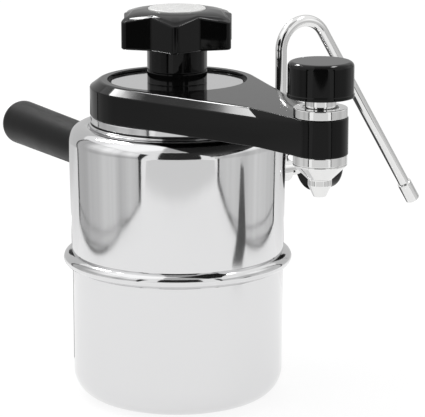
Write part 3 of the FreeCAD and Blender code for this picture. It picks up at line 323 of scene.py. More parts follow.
def outline(corners, rounding=0.0, closed=False):
    """A flat outline with rounded corners. A corner is (across, along), or
    (across, along, radius) where its rounding differs from the rest."""
    points = []
    last = len(corners) - 1
    for index, corner in enumerate(corners):
        here = Vector(corner[:2])
        radius = corner[2] if len(corner) > 2 else rounding
        if radius == 0.0 or (not closed and index in (0, last)):
            points.append(here)
            continue
        back = Vector(corners[index - 1][:2]) - here
        onward = Vector(corners[(index + 1) % len(corners)][:2]) - here
        points += rounded_corner(here, back, onward, radius)
    return points


def rounded_corner(here, back, onward, radius):
    """An arc in place of one corner, with a support on both sides."""
    half = back.angle(onward) / 2
    if half > STRAIGHT:
        return [here]
    setback = min(radius / math.tan(half), MOST_OF_A_SIDE * min(back.length, onward.length))
    radius = setback * math.tan(half)
    back.normalize()
    onward.normalize()
    centre = here + (back + onward).normalized() * (radius / math.sin(half))
    first = here + back * setback
    sweep = math.pi - 2 * half
    steps = max(3, math.ceil(sweep / ARC_STEP), math.ceil(sweep * radius / ARC_CHORD))
    arm = first - centre
    side = 1.0 if back.cross(onward) < 0 else -1.0
    support = min(SUPPORT, setback * SUPPORT_SHARE)
    points = [first + back * support]
    for step in range(steps + 1):
        turn = side * sweep * step / steps
        points.append(centre + Vector((
            arm.x * math.cos(turn) - arm.y * math.sin(turn),
            arm.x * math.sin(turn) + arm.y * math.cos(turn))))
    points.append(here + onward * (setback + support))
    return points


# meshes

# Edges that turn by more than a crease, in degrees, stay sharp. Points closer than the merge
# distance are one point, and faces that turn by less than the flat angle are one face.
CREASE = 35.0
COPY_CREASE = 30.0
TUBE_CREASE = 40.0
KNOB_CREASE = 50.0
THREAD_CREASE = 60.0
MERGE = 1e-6
FLAT = math.radians(0.5)


def new_object(name, mesh):
    """A new object in the scene, with its mesh, curve, lamp or camera."""
    thing = bpy.data.objects.new(name, mesh)
    bpy.context.scene.collection.objects.link(thing)
    return thing


def from_bmesh(name, work, crease=CREASE):
    """Closes a bmesh into an object with smooth faces and sharp creases."""
    bmesh.ops.recalc_face_normals(work, faces=work.faces)
    mesh = bpy.data.meshes.new(name)
    work.to_mesh(mesh)
    work.free()
    smooth(mesh, crease)
    return new_object(name, mesh)


def smooth(mesh, crease):
    """Shades a mesh smooth, but for edges that turn by more than the crease in degrees."""
    mesh.polygons.foreach_set("use_smooth", [True] * len(mesh.polygons))
    mesh.set_sharp_from_angle(angle=math.radians(crease))


def bridge(work, lower, upper):
    """Faces between two rings of points, either of which may be a single point."""
    count = max(len(lower), len(upper))
    if count == 1:
        return
    for index in range(count):
        onward = (index + 1) % count
        corners = [lower[index % len(lower)], lower[onward % len(lower)],
                   upper[onward % len(upper)], upper[index % len(upper)]]
        work.faces.new(list(dict.fromkeys(corners)))


def stack(name, rings, closed=False, place=None, crease=CREASE):
    """A skin over rings of points. A closed stack joins its last ring to its first."""
    work = bmesh.new()
    loops = [[work.verts.new(point) for point in ring] for ring in rings]
    for lower, upper in zip(loops, loops[1:]):
        bridge(work, lower, upper)
    if closed:
        bridge(work, loops[-1], loops[0])
    if place is not None:
        bmesh.ops.transform(work, matrix=place, verts=work.verts)
    return from_bmesh(name, work, crease)


def circle_ring(radius, height, steps):
    """A level ring of points, or one point on the axis."""
    if radius < MERGE:
        return [Vector((0.0, 0.0, height))]
    return [
        Vector((radius * math.cos(math.tau * step / steps),
                radius * math.sin(math.tau * step / steps), height))
        for step in range(steps)]


def lathe(name, profile, steps=ROUND_STEPS, closed=False, place=None):
    """A turned piece from (radius, height) points, about the upright axis."""
    rings = [circle_ring(point[0], point[1], steps) for point in profile]
    return stack(name, rings, closed, place)


def turned_ring(name, inner, outer, bottom, top, rounding, place=None, steps=ROUND_STEPS):
    """A flat ring with its four edges rounded alike."""
    corners = [(inner, bottom), (outer, bottom), (outer, top), (inner, top)]
    return lathe(name, outline(corners, rounding, closed=True), steps, True, place)


def at(x, y, z):
    return Matrix.Translation(Vector((x, y, z)))


def plain(thing, name=None):
    """The evaluated result of a thing's modifiers, as a plain mesh object."""
    depsgraph = bpy.context.evaluated_depsgraph_get()
    mesh = bpy.data.meshes.new_from_object(thing.evaluated_get(depsgraph))
    result = new_object(name or thing.name, mesh)
    old = thing.name
    bpy.data.objects.remove(thing)
    result.name = name or old
    return result


def dress(thing, body, material, nodes=()):
    """Paints a piece, lets it ride on its body and puts it in place of its nodes."""
    thing.data.materials.clear()
    thing.data.materials.append(material.data)
    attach(thing, body)
    if nodes:
        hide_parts(*nodes)
    return thing


def smooth_copy(node, body, material):
    """A merged and smoothed copy of a CAD node whose shape is right as it is."""
    work = bmesh.new()
    work.from_mesh(bpy.data.objects[node].data)
    bmesh.ops.remove_doubles(work, verts=work.verts, dist=MERGE)
    bmesh.ops.dissolve_limit(work, angle_limit=FLAT, verts=work.verts, edges=work.edges)
    return dress(from_bmesh(f"{node}_finish", work, COPY_CREASE), body, material, [node])


# shader node groups that several finishes share

EVEN_WAY = (1.0, 1.0, 1.0)
DRAWN_UPWARD = (1.0, 1.0, 0.25)
ROUND_THE_AXIS = (0.05, 0.05, 1.0)
COARSE_GRAIN = 700.0


def new_group(name, inputs, outputs):
    """An empty shader group with its inputs and outputs."""
    tree = bpy.data.node_groups.new(name, "ShaderNodeTree")
    for label, value in inputs:
        socket = tree.interface.new_socket(label, in_out="INPUT", socket_type="NodeSocketFloat")
        socket.default_value = value
    for label in outputs:
        tree.interface.new_socket(label, in_out="OUTPUT", socket_type="NodeSocketFloat")
    return tree, tree.nodes.new("NodeGroupInput"), tree.nodes.new("NodeGroupOutput")


def stretched_noise(tree, stretch, scale, detail=2.0):
    """Noise on the object's own coordinates, drawn out along some of its axes."""
    where = tree.nodes.new("ShaderNodeTexCoord")
    mapping = tree.nodes.new("ShaderNodeMapping")
    mapping.inputs["Scale"].default_value = stretch
    noise = tree.nodes.new("ShaderNodeTexNoise")
    noise.inputs["Detail"].default_value = detail
    tree.links.new(where.outputs["Object"], mapping.inputs["Vector"])
    tree.links.new(mapping.outputs["Vector"], noise.inputs["Vector"])
    if isinstance(scale, (int, float)):
        noise.inputs["Scale"].default_value = scale
    else:
        tree.links.new(scale, noise.inputs["Scale"])
    return noise


def handling_group():
    """Roughness that varies softly where hands and cloths have been."""
    tree, inside, outside = new_group(
        "handling marks", [("Scale", 40.0), ("Cleanest", 0.05), ("Dullest", 0.12)], ["Roughness"])
    wide = stretched_noise(tree, EVEN_WAY, inside.outputs["Scale"], 4.0)
    spread = tree.nodes.new("ShaderNodeMapRange")
    spread.inputs["From Min"].default_value = 0.35
    spread.inputs["From Max"].default_value = 0.70
    tree.links.new(wide.outputs["Fac"], spread.inputs["Value"])
    tree.links.new(inside.outputs["Cleanest"], spread.inputs["To Min"])
    tree.links.new(inside.outputs["Dullest"], spread.inputs["To Max"])
    tree.links.new(spread.outputs["Result"], outside.inputs["Roughness"])
    return tree


def ripple_group():
    """Slow waves that drawing and polishing leave in sheet metal, as a height."""
    tree, inside, outside = new_group("sheet ripple", [("Scale", 30.0)], ["Height"])
    waves = stretched_noise(tree, DRAWN_UPWARD, inside.outputs["Scale"], 1.0)
    tree.links.new(waves.outputs["Fac"], outside.inputs["Height"])
    return tree


def grain_group():
    """Fine moulded or satin grain, as a height."""
    tree, inside, outside = new_group(
        "fine grain", [("Scale", 2500.0), ("Coarse share", 0.4)], ["Height"])
    fine = stretched_noise(tree, EVEN_WAY, inside.outputs["Scale"])
    coarse = stretched_noise(tree, EVEN_WAY, COARSE_GRAIN)
    blend = tree.nodes.new("ShaderNodeMix")
    tree.links.new(inside.outputs["Coarse share"], blend.inputs["Factor"])
    tree.links.new(fine.outputs["Fac"], blend.inputs["A"])
    tree.links.new(coarse.outputs["Fac"], blend.inputs["B"])
    tree.links.new(blend.outputs["Result"], outside.inputs["Height"])
    return tree


def brushing_group():
    """Fine lines round the upright axis, as turning and brushing leave them."""
    tree, inside, outside = new_group("brushing", [("Scale", 900.0)], ["Height"])
    lines = stretched_noise(tree, ROUND_THE_AXIS, inside.outputs["Scale"], 3.0)
    tree.links.new(lines.outputs["Fac"], outside.inputs["Height"])
    return tree


def groove_shade_group():
    """A mask that is 1 between two heights, where the shade in a turned groove is painted into the
    colour.
    """
    tree, inside, outside = new_group(
        "dirt in a groove", [("Middle", 0.0), ("Half height", 0.001)], ["Mask"])
    where = tree.nodes.new("ShaderNodeTexCoord")
    parts = tree.nodes.new("ShaderNodeSeparateXYZ")
    within = tree.nodes.new("ShaderNodeMath")
    within.operation = "COMPARE"
    tree.links.new(where.outputs["Object"], parts.inputs["Vector"])
    tree.links.new(parts.outputs["Z"], within.inputs[0])
    tree.links.new(inside.outputs["Middle"], within.inputs[1])
    tree.links.new(inside.outputs["Half height"], within.inputs[2])
    tree.links.new(within.outputs["Value"], outside.inputs["Mask"])
    return tree


COAT_ROUGHNESS = 0.04


class Finish:
    """A material, the record's slot that it stands for, and how to build it."""

    def __init__(self, name, slot, base, metallic=0.0, coat=0.0, specular=0.5):
        self.slot = slot
        self.data = bpy.data.materials.new(name)
        self.data.use_nodes = True
        self.tree = self.data.node_tree
        self.shader = self.tree.nodes["Principled BSDF"]
        self.shader.inputs["Base Color"].default_value = (*base, 1.0)
        self.shader.inputs["Metallic"].default_value = metallic
        self.shader.inputs["Coat Weight"].default_value = coat
        self.shader.inputs["Coat Roughness"].default_value = COAT_ROUGHNESS
        self.shader.inputs["Specular IOR Level"].default_value = specular

    def place_group(self, group, **values):
        """Puts a shared group into the material, with this material's own values."""
        node = self.tree.nodes.new("ShaderNodeGroup")
        node.node_tree = group
        for label, value in values.items():
            node.inputs[label.replace("_", " ").capitalize()].default_value = value
        return node

    def roughness(self, group, cleanest, dullest, scale):
        """Lets the group vary the roughness between its cleanest and its dullest spot."""
        node = self.place_group(group, Scale=scale, Cleanest=cleanest, Dullest=dullest)
        self.tree.links.new(node.outputs["Roughness"], self.shader.inputs["Roughness"])
        return self

    def relief(self, group, depth, **values):
        """Raises the surface by the group's height, up to a depth in metres."""
        node = self.place_group(group, **values)
        bump = self.tree.nodes.new("ShaderNodeBump")
        bump.inputs["Distance"].default_value = depth
        bump.inputs["Strength"].default_value = 1.0
        self.tree.links.new(node.outputs["Height"], bump.inputs["Height"])
        self.tree.links.new(bump.outputs["Normal"], self.shader.inputs["Normal"])
        return self

    def darken(self, group, base, share, **values):
        """Dulls the base colour to a share of itself where the group's mask is 1."""
        node = self.place_group(group, **values)
        blend = self.tree.nodes.new("ShaderNodeMix")
        blend.data_type = "RGBA"
        colour_inputs = [item for item in blend.inputs if item.type == "RGBA"]
        colour_inputs[0].default_value = (*base, 1.0)
        colour_inputs[1].default_value = (*[part * share for part in base], 1.0)
        self.tree.links.new(node.outputs["Mask"], blend.inputs["Factor"])
        result = [item for item in blend.outputs if item.type == "RGBA"][0]
        self.tree.links.new(result, self.shader.inputs["Base Color"])
        return self


# share of the steel's colour left in the neck ring's groove, as painted shade
GROOVE_SHADE = 0.12
finishes = {}


def make_finishes(colours, boiler):
    """Fills the table of finishes that the pieces take theirs from."""
    handling = handling_group()
    ripple = ripple_group()
    grain = grain_group()
    brushing = brushing_group()
    groove_shade = groove_shade_group()
    bead_top = boiler.crest - boiler.crest_rise + boiler.bead_height
    finishes.update({
        "steel": Finish("mirror_steel", "polished_steel", colours.steel, 1.0)
        .roughness(handling, 0.05, 0.10, 45.0).relief(ripple, 0.00010, Scale=28.0),
        # the neck ring's groove is darkened here: painted shade in the steel's colour
        "neck_steel": Finish("neck_ring_steel", "polished_steel", colours.steel, 1.0)
        .roughness(handling, 0.05, 0.12, 45.0).relief(ripple, 0.00006, Scale=60.0)
        .darken(groove_shade, colours.steel, GROOVE_SHADE, Middle=bead_top + boiler.groove / 2,
                Half_height=boiler.groove / 2 + boiler.groove_round),
        "chrome": Finish("chrome_plate", "chromed_brass", colours.chrome, 1.0)
        .roughness(handling, 0.03, 0.08, 120.0).relief(ripple, 0.00003, Scale=90.0),
        "inner_steel": Finish("satin_steel", "inner_steel", colours.inner_steel, 1.0)
        .roughness(handling, 0.24, 0.36, 80.0).relief(brushing, 0.00001, Scale=900.0),
        "brass": Finish("turned_brass", "plain_brass", colours.brass, 1.0)
        .roughness(handling, 0.20, 0.36, 90.0).relief(brushing, 0.00001, Scale=1200.0),
        "gloss_black": Finish("gloss_black_moulding", "gloss_black", colours.gloss_black,
                              specular=0.2)
        .roughness(handling, 0.03, 0.07, 60.0).relief(ripple, 0.00003, Scale=55.0),
        "satin_black": Finish("satin_black_grip", "satin_black", colours.satin_black,
                              specular=0.2)
        .roughness(handling, 0.34, 0.46, 60.0).relief(grain, 0.00002, Scale=2500.0),
        "white": Finish("white_cap", "white_cap", colours.white, coat=0.1)
        .roughness(handling, 0.22, 0.34, 90.0).relief(grain, 0.000004, Scale=1500.0),
        "seal": Finish("rubber_seal", "seal", colours.seal)
        .roughness(handling, 0.55, 0.75, 120.0).relief(grain, 0.00003, Scale=1800.0),
        "packing": Finish("packing", "packing", colours.packing)
        .roughness(handling, 0.35, 0.50, 200.0).relief(grain, 0.00001, Scale=2500.0),
    })


# geometry node trees

COIL_STEPS = 28
WIRE_SIDES = 10


def new_tree(name, inputs):
    """An empty geometry tree with its inputs, by name."""
    tree = bpy.data.node_groups.new(name, "GeometryNodeTree")
    sockets = {}
    kinds = {"Geometry": "NodeSocketGeometry", "Material": "NodeSocketMaterial",
             "Count": "NodeSocketInt"}
    for label in inputs:
        kind = kinds.get(label, "NodeSocketFloat")
        sockets[label] = tree.interface.new_socket(label, in_out="INPUT", socket_type=kind)
    tree.interface.new_socket("Geometry", in_out="OUTPUT", socket_type="NodeSocketGeometry")
    return tree, sockets, tree.nodes.new("NodeGroupInput"), tree.nodes.new("NodeGroupOutput")


def close_tree(tree, inside, outside, geometry):
    """Ends a tree in real geometry with its material."""
    realize = tree.nodes.new("GeometryNodeRealizeInstances")
    paint = tree.nodes.new("GeometryNodeSetMaterial")
    tree.links.new(geometry, realize.inputs["Geometry"])
    tree.links.new(realize.outputs["Geometry"], paint.inputs["Geometry"])
    tree.links.new(inside.outputs["Material"], paint.inputs["Material"])
    tree.links.new(paint.outputs["Geometry"], outside.inputs["Geometry"])


def run_tree(thing, tree, sockets, values, name):
    """Runs a tree on a thing and keeps its result as a plain mesh."""
    modifier = thing.modifiers.new("build", "NODES")
    modifier.node_group = tree
    for label, value in values.items():
        modifier[sockets[label].identifier] = value
    return plain(thing, name)


def tube_tree():
    """A round tube along a curve, closed at both ends."""
    tree, sockets, inside, outside = new_tree(
        "tube along a path", ["Geometry", "Tube radius", "Count", "Material"])
    section = tree.nodes.new("GeometryNodeCurvePrimitiveCircle")
    sweep = tree.nodes.new("GeometryNodeCurveToMesh")
    sweep.inputs["Fill Caps"].default_value = True
    tree.links.new(inside.outputs["Count"], section.inputs["Resolution"])
    tree.links.new(inside.outputs["Tube radius"], section.inputs["Radius"])
    tree.links.new(inside.outputs["Geometry"], sweep.inputs["Curve"])
    tree.links.new(section.outputs["Curve"], sweep.inputs["Profile Curve"])
    close_tree(tree, inside, outside, sweep.outputs["Mesh"])
    return tree, sockets


def spring_tree():
    """A round wire wound into a coil about the upright axis."""
    tree, sockets, inside, outside = new_tree(
        "coil spring", ["Geometry", "Turns", "Coil radius", "Coil height", "Tube radius",
                        "Material"])
    coil = tree.nodes.new("GeometryNodeCurveSpiral")
    coil.inputs["Resolution"].default_value = COIL_STEPS
    section = tree.nodes.new("GeometryNodeCurvePrimitiveCircle")
    section.inputs["Resolution"].default_value = WIRE_SIDES
    sweep = tree.nodes.new("GeometryNodeCurveToMesh")
    sweep.inputs["Fill Caps"].default_value = True
    tree.links.new(inside.outputs["Turns"], coil.inputs["Rotations"])
    tree.links.new(inside.outputs["Coil radius"], coil.inputs["Start Radius"])
    tree.links.new(inside.outputs["Coil radius"], coil.inputs["End Radius"])
    tree.links.new(inside.outputs["Coil height"], coil.inputs["Height"])
    tree.links.new(inside.outputs["Tube radius"], section.inputs["Radius"])
    tree.links.new(coil.outputs["Curve"], sweep.inputs["Curve"])
    tree.links.new(section.outputs["Curve"], sweep.inputs["Profile Curve"])
    close_tree(tree, inside, outside, sweep.outputs["Mesh"])
    return tree, sockets


def path_object(name, points):
    """An open path of straight stretches, as a curve object."""
    data = bpy.data.curves.new(name, "CURVE")
    data.dimensions = "3D"
    spline = data.splines.new("POLY")
    spline.points.add(len(points) - 1)
    for item, point in zip(spline.points, points):
        item.co = (*point, 1.0)
    return new_object(name, data)


# boiler

# the bead's edges are rounded by this share of its height, so it is almost half round
BEAD_SHARE = 0.48
SEAM_STEPS = 56
NECK_STEPS = 256
POST_STEPS = 48
ROWS_PER_TURN = 8


class ESPRESSO_OT_boiler(bpy.types.Operator):
    """Lower cup with its rolled seam, upper shell, neck ring and threaded post"""
    bl_idname = "espresso.boiler"
    bl_label = "Boiler"

    def execute(self, context):
        sizes = context.scene.espresso_boiler
        steel = finishes["steel"]
        dress(make_cup(sizes), "boiler", steel, ["boiler_cup"])
        dress(make_shell(sizes), "boiler", steel, ["boiler_shell"])
        dress(make_neck(sizes), "boiler", finishes["neck_steel"], ["neck_ring"])
        dress(make_post(sizes), "boiler", finishes["inner_steel"], ["clamp_post"])
        smooth_copy("post_bridge", "boiler", finishes["inner_steel"])
        return {"FINISHED"}


def make_cup(sizes):
    """The lower cup, with the rolled seam at its top."""
    wall = sizes.cup_radius
    inner = wall - sizes.wall
    root = wall - sizes.seam_lip
    seam = []
    for step in range(SEAM_STEPS + 1):
        turn = math.pi * (step / SEAM_STEPS - 0.5)
        across = root + (sizes.seam_radius - root) * math.cos(turn)
        seam.append((across, sizes.seam_height + sizes.seam_half * math.sin(turn)))
    corners = [
        (0.0, 0.0),
        (wall, 0.0, sizes.cup_corner),
        (wall, seam[0][1] - sizes.seam_step, sizes.seam_fillet),
        *seam,
        (inner, seam[-1][1]),
        (inner, sizes.wall, sizes.cup_corner - sizes.wall),
        (0.0, sizes.wall),
    ]
    return lathe("boiler_lower_cup", outline(corners), BOILER_STEPS)


def make_shell(sizes):
    """The upper shell: a slightly leaning wall, a shoulder, and a roll in to the mouth."""
    foot = sizes.seam_height
    wall = sizes.wall
    crest = sizes.crest
    seat = crest - sizes.crest_rise
    rounding = sizes.crest_round
    crest_radius = sizes.shell_top - rounding
    run = crest_radius - sizes.seat_radius
    roll = (run ** 2 + sizes.crest_rise ** 2) / (2 * sizes.crest_rise)
    roll_end = math.pi / 2 + math.asin(run / roll)
    lean = sizes.shell_top - sizes.shell_foot
    shoulder = crest - rounding
    profile = [(sizes.shell_foot, foot)]
    for height in (foot + SUPPORT, shoulder - 2 * SUPPORT, shoulder - SUPPORT):
        profile.append((sizes.shell_foot + lean * (height - foot) / (shoulder - foot), height))
    profile += arc(crest_radius, shoulder, rounding, 0.0, math.pi / 2)
    profile += arc(crest_radius, crest - roll, roll, math.pi / 2, roll_end)[1:]
    profile += [(sizes.mouth, seat), (sizes.mouth, seat - wall),
                (sizes.seat_radius, seat - wall), (crest_radius, crest - wall)]
    profile += arc(crest_radius, shoulder, rounding - wall, math.pi / 2, 0.0)[1:]
    profile.append((sizes.shell_foot - wall, foot))
    return lathe("boiler_upper_shell", profile, BOILER_STEPS, True)


def make_neck(sizes):
    """The neck ring: bead, groove and band outside, and the basket's well inside."""
    seat = sizes.crest - sizes.crest_rise
    bead_top = seat + sizes.bead_height
    bead_round = sizes.bead_height * BEAD_SHARE
    groove_top = bead_top + sizes.groove
    groove_radius = sizes.band_radius - sizes.groove_depth
    top = high("neck_ring").z
    bottom = low("neck_ring").z
    spigot_foot = seat - sizes.spigot_drop
    well_outer = sizes.well + sizes.well_wall
    corners = [
        (sizes.mouth, seat, 0.0),
        (sizes.neck_radius, seat, bead_round),
        (sizes.neck_radius, bead_top, bead_round),
        (groove_radius, bead_top, sizes.groove_round),
        (groove_radius, groove_top, sizes.groove_round),
        (sizes.band_radius, groove_top, sizes.band_foot),
        (sizes.band_radius, top, sizes.band_top),
        (sizes.gasket_bore, top, sizes.bore_round),
        (sizes.gasket_bore, sizes.ledge, sizes.inner_round),
        (sizes.well, sizes.ledge, sizes.well_round),
        (sizes.well, bottom, sizes.well_round),
        (well_outer, bottom, sizes.well_round),
        (well_outer, spigot_foot, sizes.inner_round),
        (sizes.mouth, spigot_foot, sizes.spigot_round),
    ]
    return lathe("neck_ring_polished", outline(corners, closed=True), NECK_STEPS, True)


def make_post(sizes):
    """The closing post, with its thread down to the lid."""
    bottom, top = low("clamp_post").z, high("clamp_post").z
    thread_foot = high("coffee_basket").z
    crest = sizes.post_radius
    root = crest - sizes.thread_depth
    rings = [circle_ring(0.0, bottom, POST_STEPS), circle_ring(crest, bottom, POST_STEPS),
             circle_ring(crest, thread_foot, POST_STEPS)]
    rows = int((top - thread_foot) / sizes.thread_pitch * ROWS_PER_TURN)
    for row in range(1, rows):
        height = thread_foot + (top - thread_foot) * row / rows
        fade = min(1.0, row / ROWS_PER_TURN)
        chamfer = max(0.0, height - (top - sizes.post_chamfer))
        ring = []
        for step in range(POST_STEPS):
            turn = step / POST_STEPS
            phase = (height / sizes.thread_pitch - turn) % 1.0
            depth = 1.0 - abs(2.0 * phase - 1.0)
            radius = crest - fade * (crest - root) * depth
            radius = min(radius, crest - chamfer)
            ring.append(Vector((radius * math.cos(math.tau * turn),
                                radius * math.sin(math.tau * turn), height)))
        rings.append(ring)
    rings.append(circle_ring(root - sizes.post_tip, top, POST_STEPS))
    rings.append(circle_ring(0.0, top, POST_STEPS))
    return stack("threaded_post", rings, crease=THREAD_CREASE)


# handle

class ESPRESSO_OT_handle(bpy.types.Operator):
    """Satin black grip on its stud, at the boiler's side"""
    bl_idname = "espresso.handle"
    bl_label = "Handle"

    def execute(self, context):
        sizes = context.scene.espresso_handle
        place = at(0.0, 0.0, sizes.height) @ Matrix.Rotation(sizes.tilt - math.pi / 2, 4, "Y")
        bore_end = sizes.foot + sizes.bore_depth
        corners = [
            (sizes.bore, sizes.foot, 0.0),
            (sizes.root_radius, sizes.foot, sizes.foot_round),
            (sizes.end_radius, sizes.reach, sizes.end_round),
            (0.0, sizes.reach),
            (0.0, bore_end),
            (sizes.bore, bore_end, 0.0),
        ]
        grip = lathe("handle_grip_finish", outline(corners), closed=True, place=place)
        dress(grip, "boiler", finishes["satin_black"], ["handle_grip"])
        smooth_copy("handle_stud", "boiler", finishes["inner_steel"])
        smooth_copy("grip_insert", "boiler", finishes["brass"])
        return {"FINISHED"}


# lid

CUT_PAST = 0.01
DISC_STEPS = 192
COLLAR_STEPS = 128
BUSH_STEPS = 64
EDGE_SEGMENTS = 4
LEVEL_TOLERANCE = 0.00001
RECESS_TOLERANCE = 0.0001
# An edge that turns by less than the first angle is part of a round face, and one at the top
# that turns by less than the second is where the slope meets the top. The shares are of the
# full rounding.
SMOOTH_TURN = math.radians(22)
SLOPE_TURN = math.radians(60)
SLOPE_SHARE = 1.0
RECESS_SHARE = 0.12
OTHER_SHARE = 0.42


class ESPRESSO_OT_lid(bpy.types.Operator):
    """Black lid with its arm, the polished disc, the collar and the pieces underneath"""
    bl_idname = "espresso.lid"
    bl_label = "Lid"

    def execute(self, context):
        sizes = context.scene.espresso_lid
        steel = finishes["inner_steel"]
        dress(make_casting(sizes), "lid", finishes["gloss_black"], ["lid_arm"])
        dress(make_disc(sizes), "lid", finishes["steel"], ["top_disc"])
        dress(make_collar(sizes), "lid", finishes["gloss_black"], ["collar_ring"])
        for node in ("lid_bush", "lid_plate", "lid_screws", "coffee_tube"):
            smooth_copy(node, "lid", steel)
        for node in ("lid_gasket", "post_gasket"):
            smooth_copy(node, "lid", finishes["seal"])
        return {"FINISHED"}


def lid_outline(sizes, radius, taper):
    """A round plate whose two flanks run in to an arm that narrows to a round end."""
    lean, rise = math.sin(sizes.flank), math.cos(sizes.flank)
    narrow, wide = math.sin(taper), math.cos(taper)
    side = sizes.boss_radius + ARM_END * narrow
    turn = lean * wide - rise * narrow
    corner = ((radius * wide - side * rise) / turn, (side * lean - radius * narrow) / turn)
    start = math.pi / 2 - taper
    points = round_points(ARM_END, sizes.boss_radius, -start, start, sizes.arc_steps // 3)
    points.append(corner)
    start = math.pi / 2 - sizes.flank
    points += round_points(0.0, radius, start, math.tau - start, sizes.arc_steps)
    points.append((corner[0], -corner[1]))
    return points


def round_points(centre, radius, start, end, steps):
    """Flat points on an arc about a centre on the X axis."""
    turns = [start + (end - start) * step / steps for step in range(steps + 1)]
    return [(centre + radius * math.cos(turn), radius * math.sin(turn)) for turn in turns]


def prism(name, levels):
    """A solid over flat outlines of as many points each, given with their heights."""
    work = bmesh.new()
    loops = [[work.verts.new((x, y, height)) for x, y in points] for points, height in levels]
    for lower, upper in zip(loops, loops[1:]):
        bridge(work, lower, upper)
    work.faces.new(loops[0])
    work.faces.new(loops[-1])
    return from_bmesh(name, work)


def cut(base, tools):
    """Takes the tools' shapes away from the base, and the tools with them."""
    for tool in tools:
        modifier = base.modifiers.new("cut", "BOOLEAN")
        modifier.operation = "DIFFERENCE"
        modifier.solver = "EXACT"
        modifier.object = tool
        base = plain(base)
        bpy.data.objects.remove(tool)
    return base


def make_way(name, radius, floor, ceiling, steps, place=None):
    """A round cutter between two heights."""
    corners = [(0.0, floor), (radius, floor), (radius, ceiling), (0.0, ceiling)]
    return lathe(name, corners, steps, place=place)


def make_casting(sizes):
    """The lid's plate and arm, with its recess and its two bores, and rounded edges."""
    bottom, top = low("lid_arm").z, high("lid_arm").z
    outer = lid_outline(sizes, sizes.plate_radius, sizes.taper)
    inner = lid_outline(sizes, sizes.plate_radius - sizes.bevel_width, sizes.taper_top)
    plate = prism("lid_casting", [(outer, bottom), (outer, top - sizes.bevel_drop), (inner, top)])
    recess_radius = sizes.disc_radius + sizes.disc_margin
    under, over = bottom - CUT_PAST, top + CUT_PAST
    recess = make_way("recess", recess_radius, low("top_disc").z, over, DISC_STEPS)
    stem = make_way("stem_way", sizes.stem_radius, under, over, ROUND_STEPS, at(ARM_END, 0.0, 0.0))
    bush = make_way("bush_way", reach("lid_bush"), under, over, BUSH_STEPS)
    casting = cut(plate, [recess, stem, bush])
    weigh_edges(casting.data, recess_radius, top)
    edges = casting.modifiers.new("edges", "BEVEL")
    edges.limit_method = "WEIGHT"
    edges.width = sizes.edge
    edges.segments = EDGE_SEGMENTS
    edges.harden_normals = True
    edges.use_clamp_overlap = True
    smooth(casting.data, 180.0)
    return plain(casting, "lid_casting")


def weigh_edges(mesh, recess_radius, top):
    """Marks the casting's edges for rounding: most where the slope meets the top, and
    very little round the recess."""
    work = bmesh.new()
    work.from_mesh(mesh)
    weights = work.edges.layers.float.new("bevel_weight_edge")
    for edge in work.edges:
        turn = edge.calc_face_angle(0.0)
        if turn < SMOOTH_TURN:
            continue
        at_top = all(vert.co.z > top - LEVEL_TOLERANCE for vert in edge.verts)
        in_recess = all(vert.co.to_2d().length < recess_radius + RECESS_TOLERANCE
                        for vert in edge.verts)
        if in_recess:
            edge[weights] = RECESS_SHARE
        elif at_top and turn < SLOPE_TURN:
            edge[weights] = SLOPE_SHARE
        else:
            edge[weights] = OTHER_SHARE
    work.to_mesh(mesh)
    work.free()


def make_disc(sizes):
    """The polished disc, in its recess."""
    bottom, top = low("top_disc").z, high("top_disc").z - sizes.disc_sink
    return turned_ring("polished_disc", reach("lid_bush"), sizes.disc_radius, bottom, top,
                       sizes.disc_edge, steps=DISC_STEPS)


def make_collar(sizes):
    """The black collar that stands on the disc, round the post."""
    bottom, top = low("collar_ring").z - sizes.disc_sink, high("collar_ring").z
    return turned_ring("lid_collar", reach("lid_bush"), reach("collar_ring"), bottom, top,
                       sizes.collar_edge, steps=COLLAR_STEPS)


# closing knob

# the dome's outermost ring lies at this share of the way from the cap's rim to the lobes' edge
DOME_SHARE = 0.93
DOME_STEPS = 12
EDGE_STEPS = 5
CAP_STEPS = 128
LOBE_SUPPORT = 0.0004


class ESPRESSO_OT_closing_knob(bpy.types.Operator):
    """Six lobed closing knob with its bare white cap, insert and washer"""
    bl_idname = "espresso.closing_knob"
    bl_label = "Closing knob"

    def execute(self, context):
        sizes = context.scene.espresso_closing_knob
        dress(make_closing_knob(sizes), "clamp_knob", finishes["gloss_black"], ["closing_knob"])
        dress(make_cap(sizes), "clamp_knob", finishes["white"], ["knob_cap"])
        smooth_copy("knob_insert", "clamp_knob", finishes["brass"])
        smooth_copy("knob_washer", "clamp_washer", finishes["inner_steel"])
        return {"FINISHED"}


def lobed_outline(sizes):
    """The knob's outline from above: rounded tips with a rounded notch between them."""
    corners = []
    half_turn = math.pi / sizes.lobes
    for lobe in range(sizes.lobes):
        tip = sizes.direction + 2 * half_turn * lobe
        notch = tip + half_turn
        corners.append((sizes.apex * math.cos(tip), sizes.apex * math.sin(tip),
                        sizes.lobe_round))
        corners.append((sizes.notch * math.cos(notch), sizes.notch * math.sin(notch),
                        sizes.notch_round))
    return outline(corners, closed=True)


def dome_curve(sizes, tip):
    """The dome's height over a radius: an arc through the cap's rim and the lobe tips."""
    rim_height = high("closing_knob").z - sizes.cap_crown
    tip_height = low("closing_knob").z + sizes.dome_edge
    rise = rim_height - tip_height
    run = tip - sizes.cap_radius
    chord = math.hypot(rise, run)
    sag = math.sqrt(sizes.dome_radius ** 2 - (chord / 2) ** 2)
    halfway = Vector(((tip + sizes.cap_radius) / 2, (rim_height + tip_height) / 2))
    centre = halfway - Vector((rise, run)).normalized() * sag

    def dome(radius):
        return centre.y + math.sqrt(sizes.dome_radius ** 2 - (radius - centre.x) ** 2)

    return dome


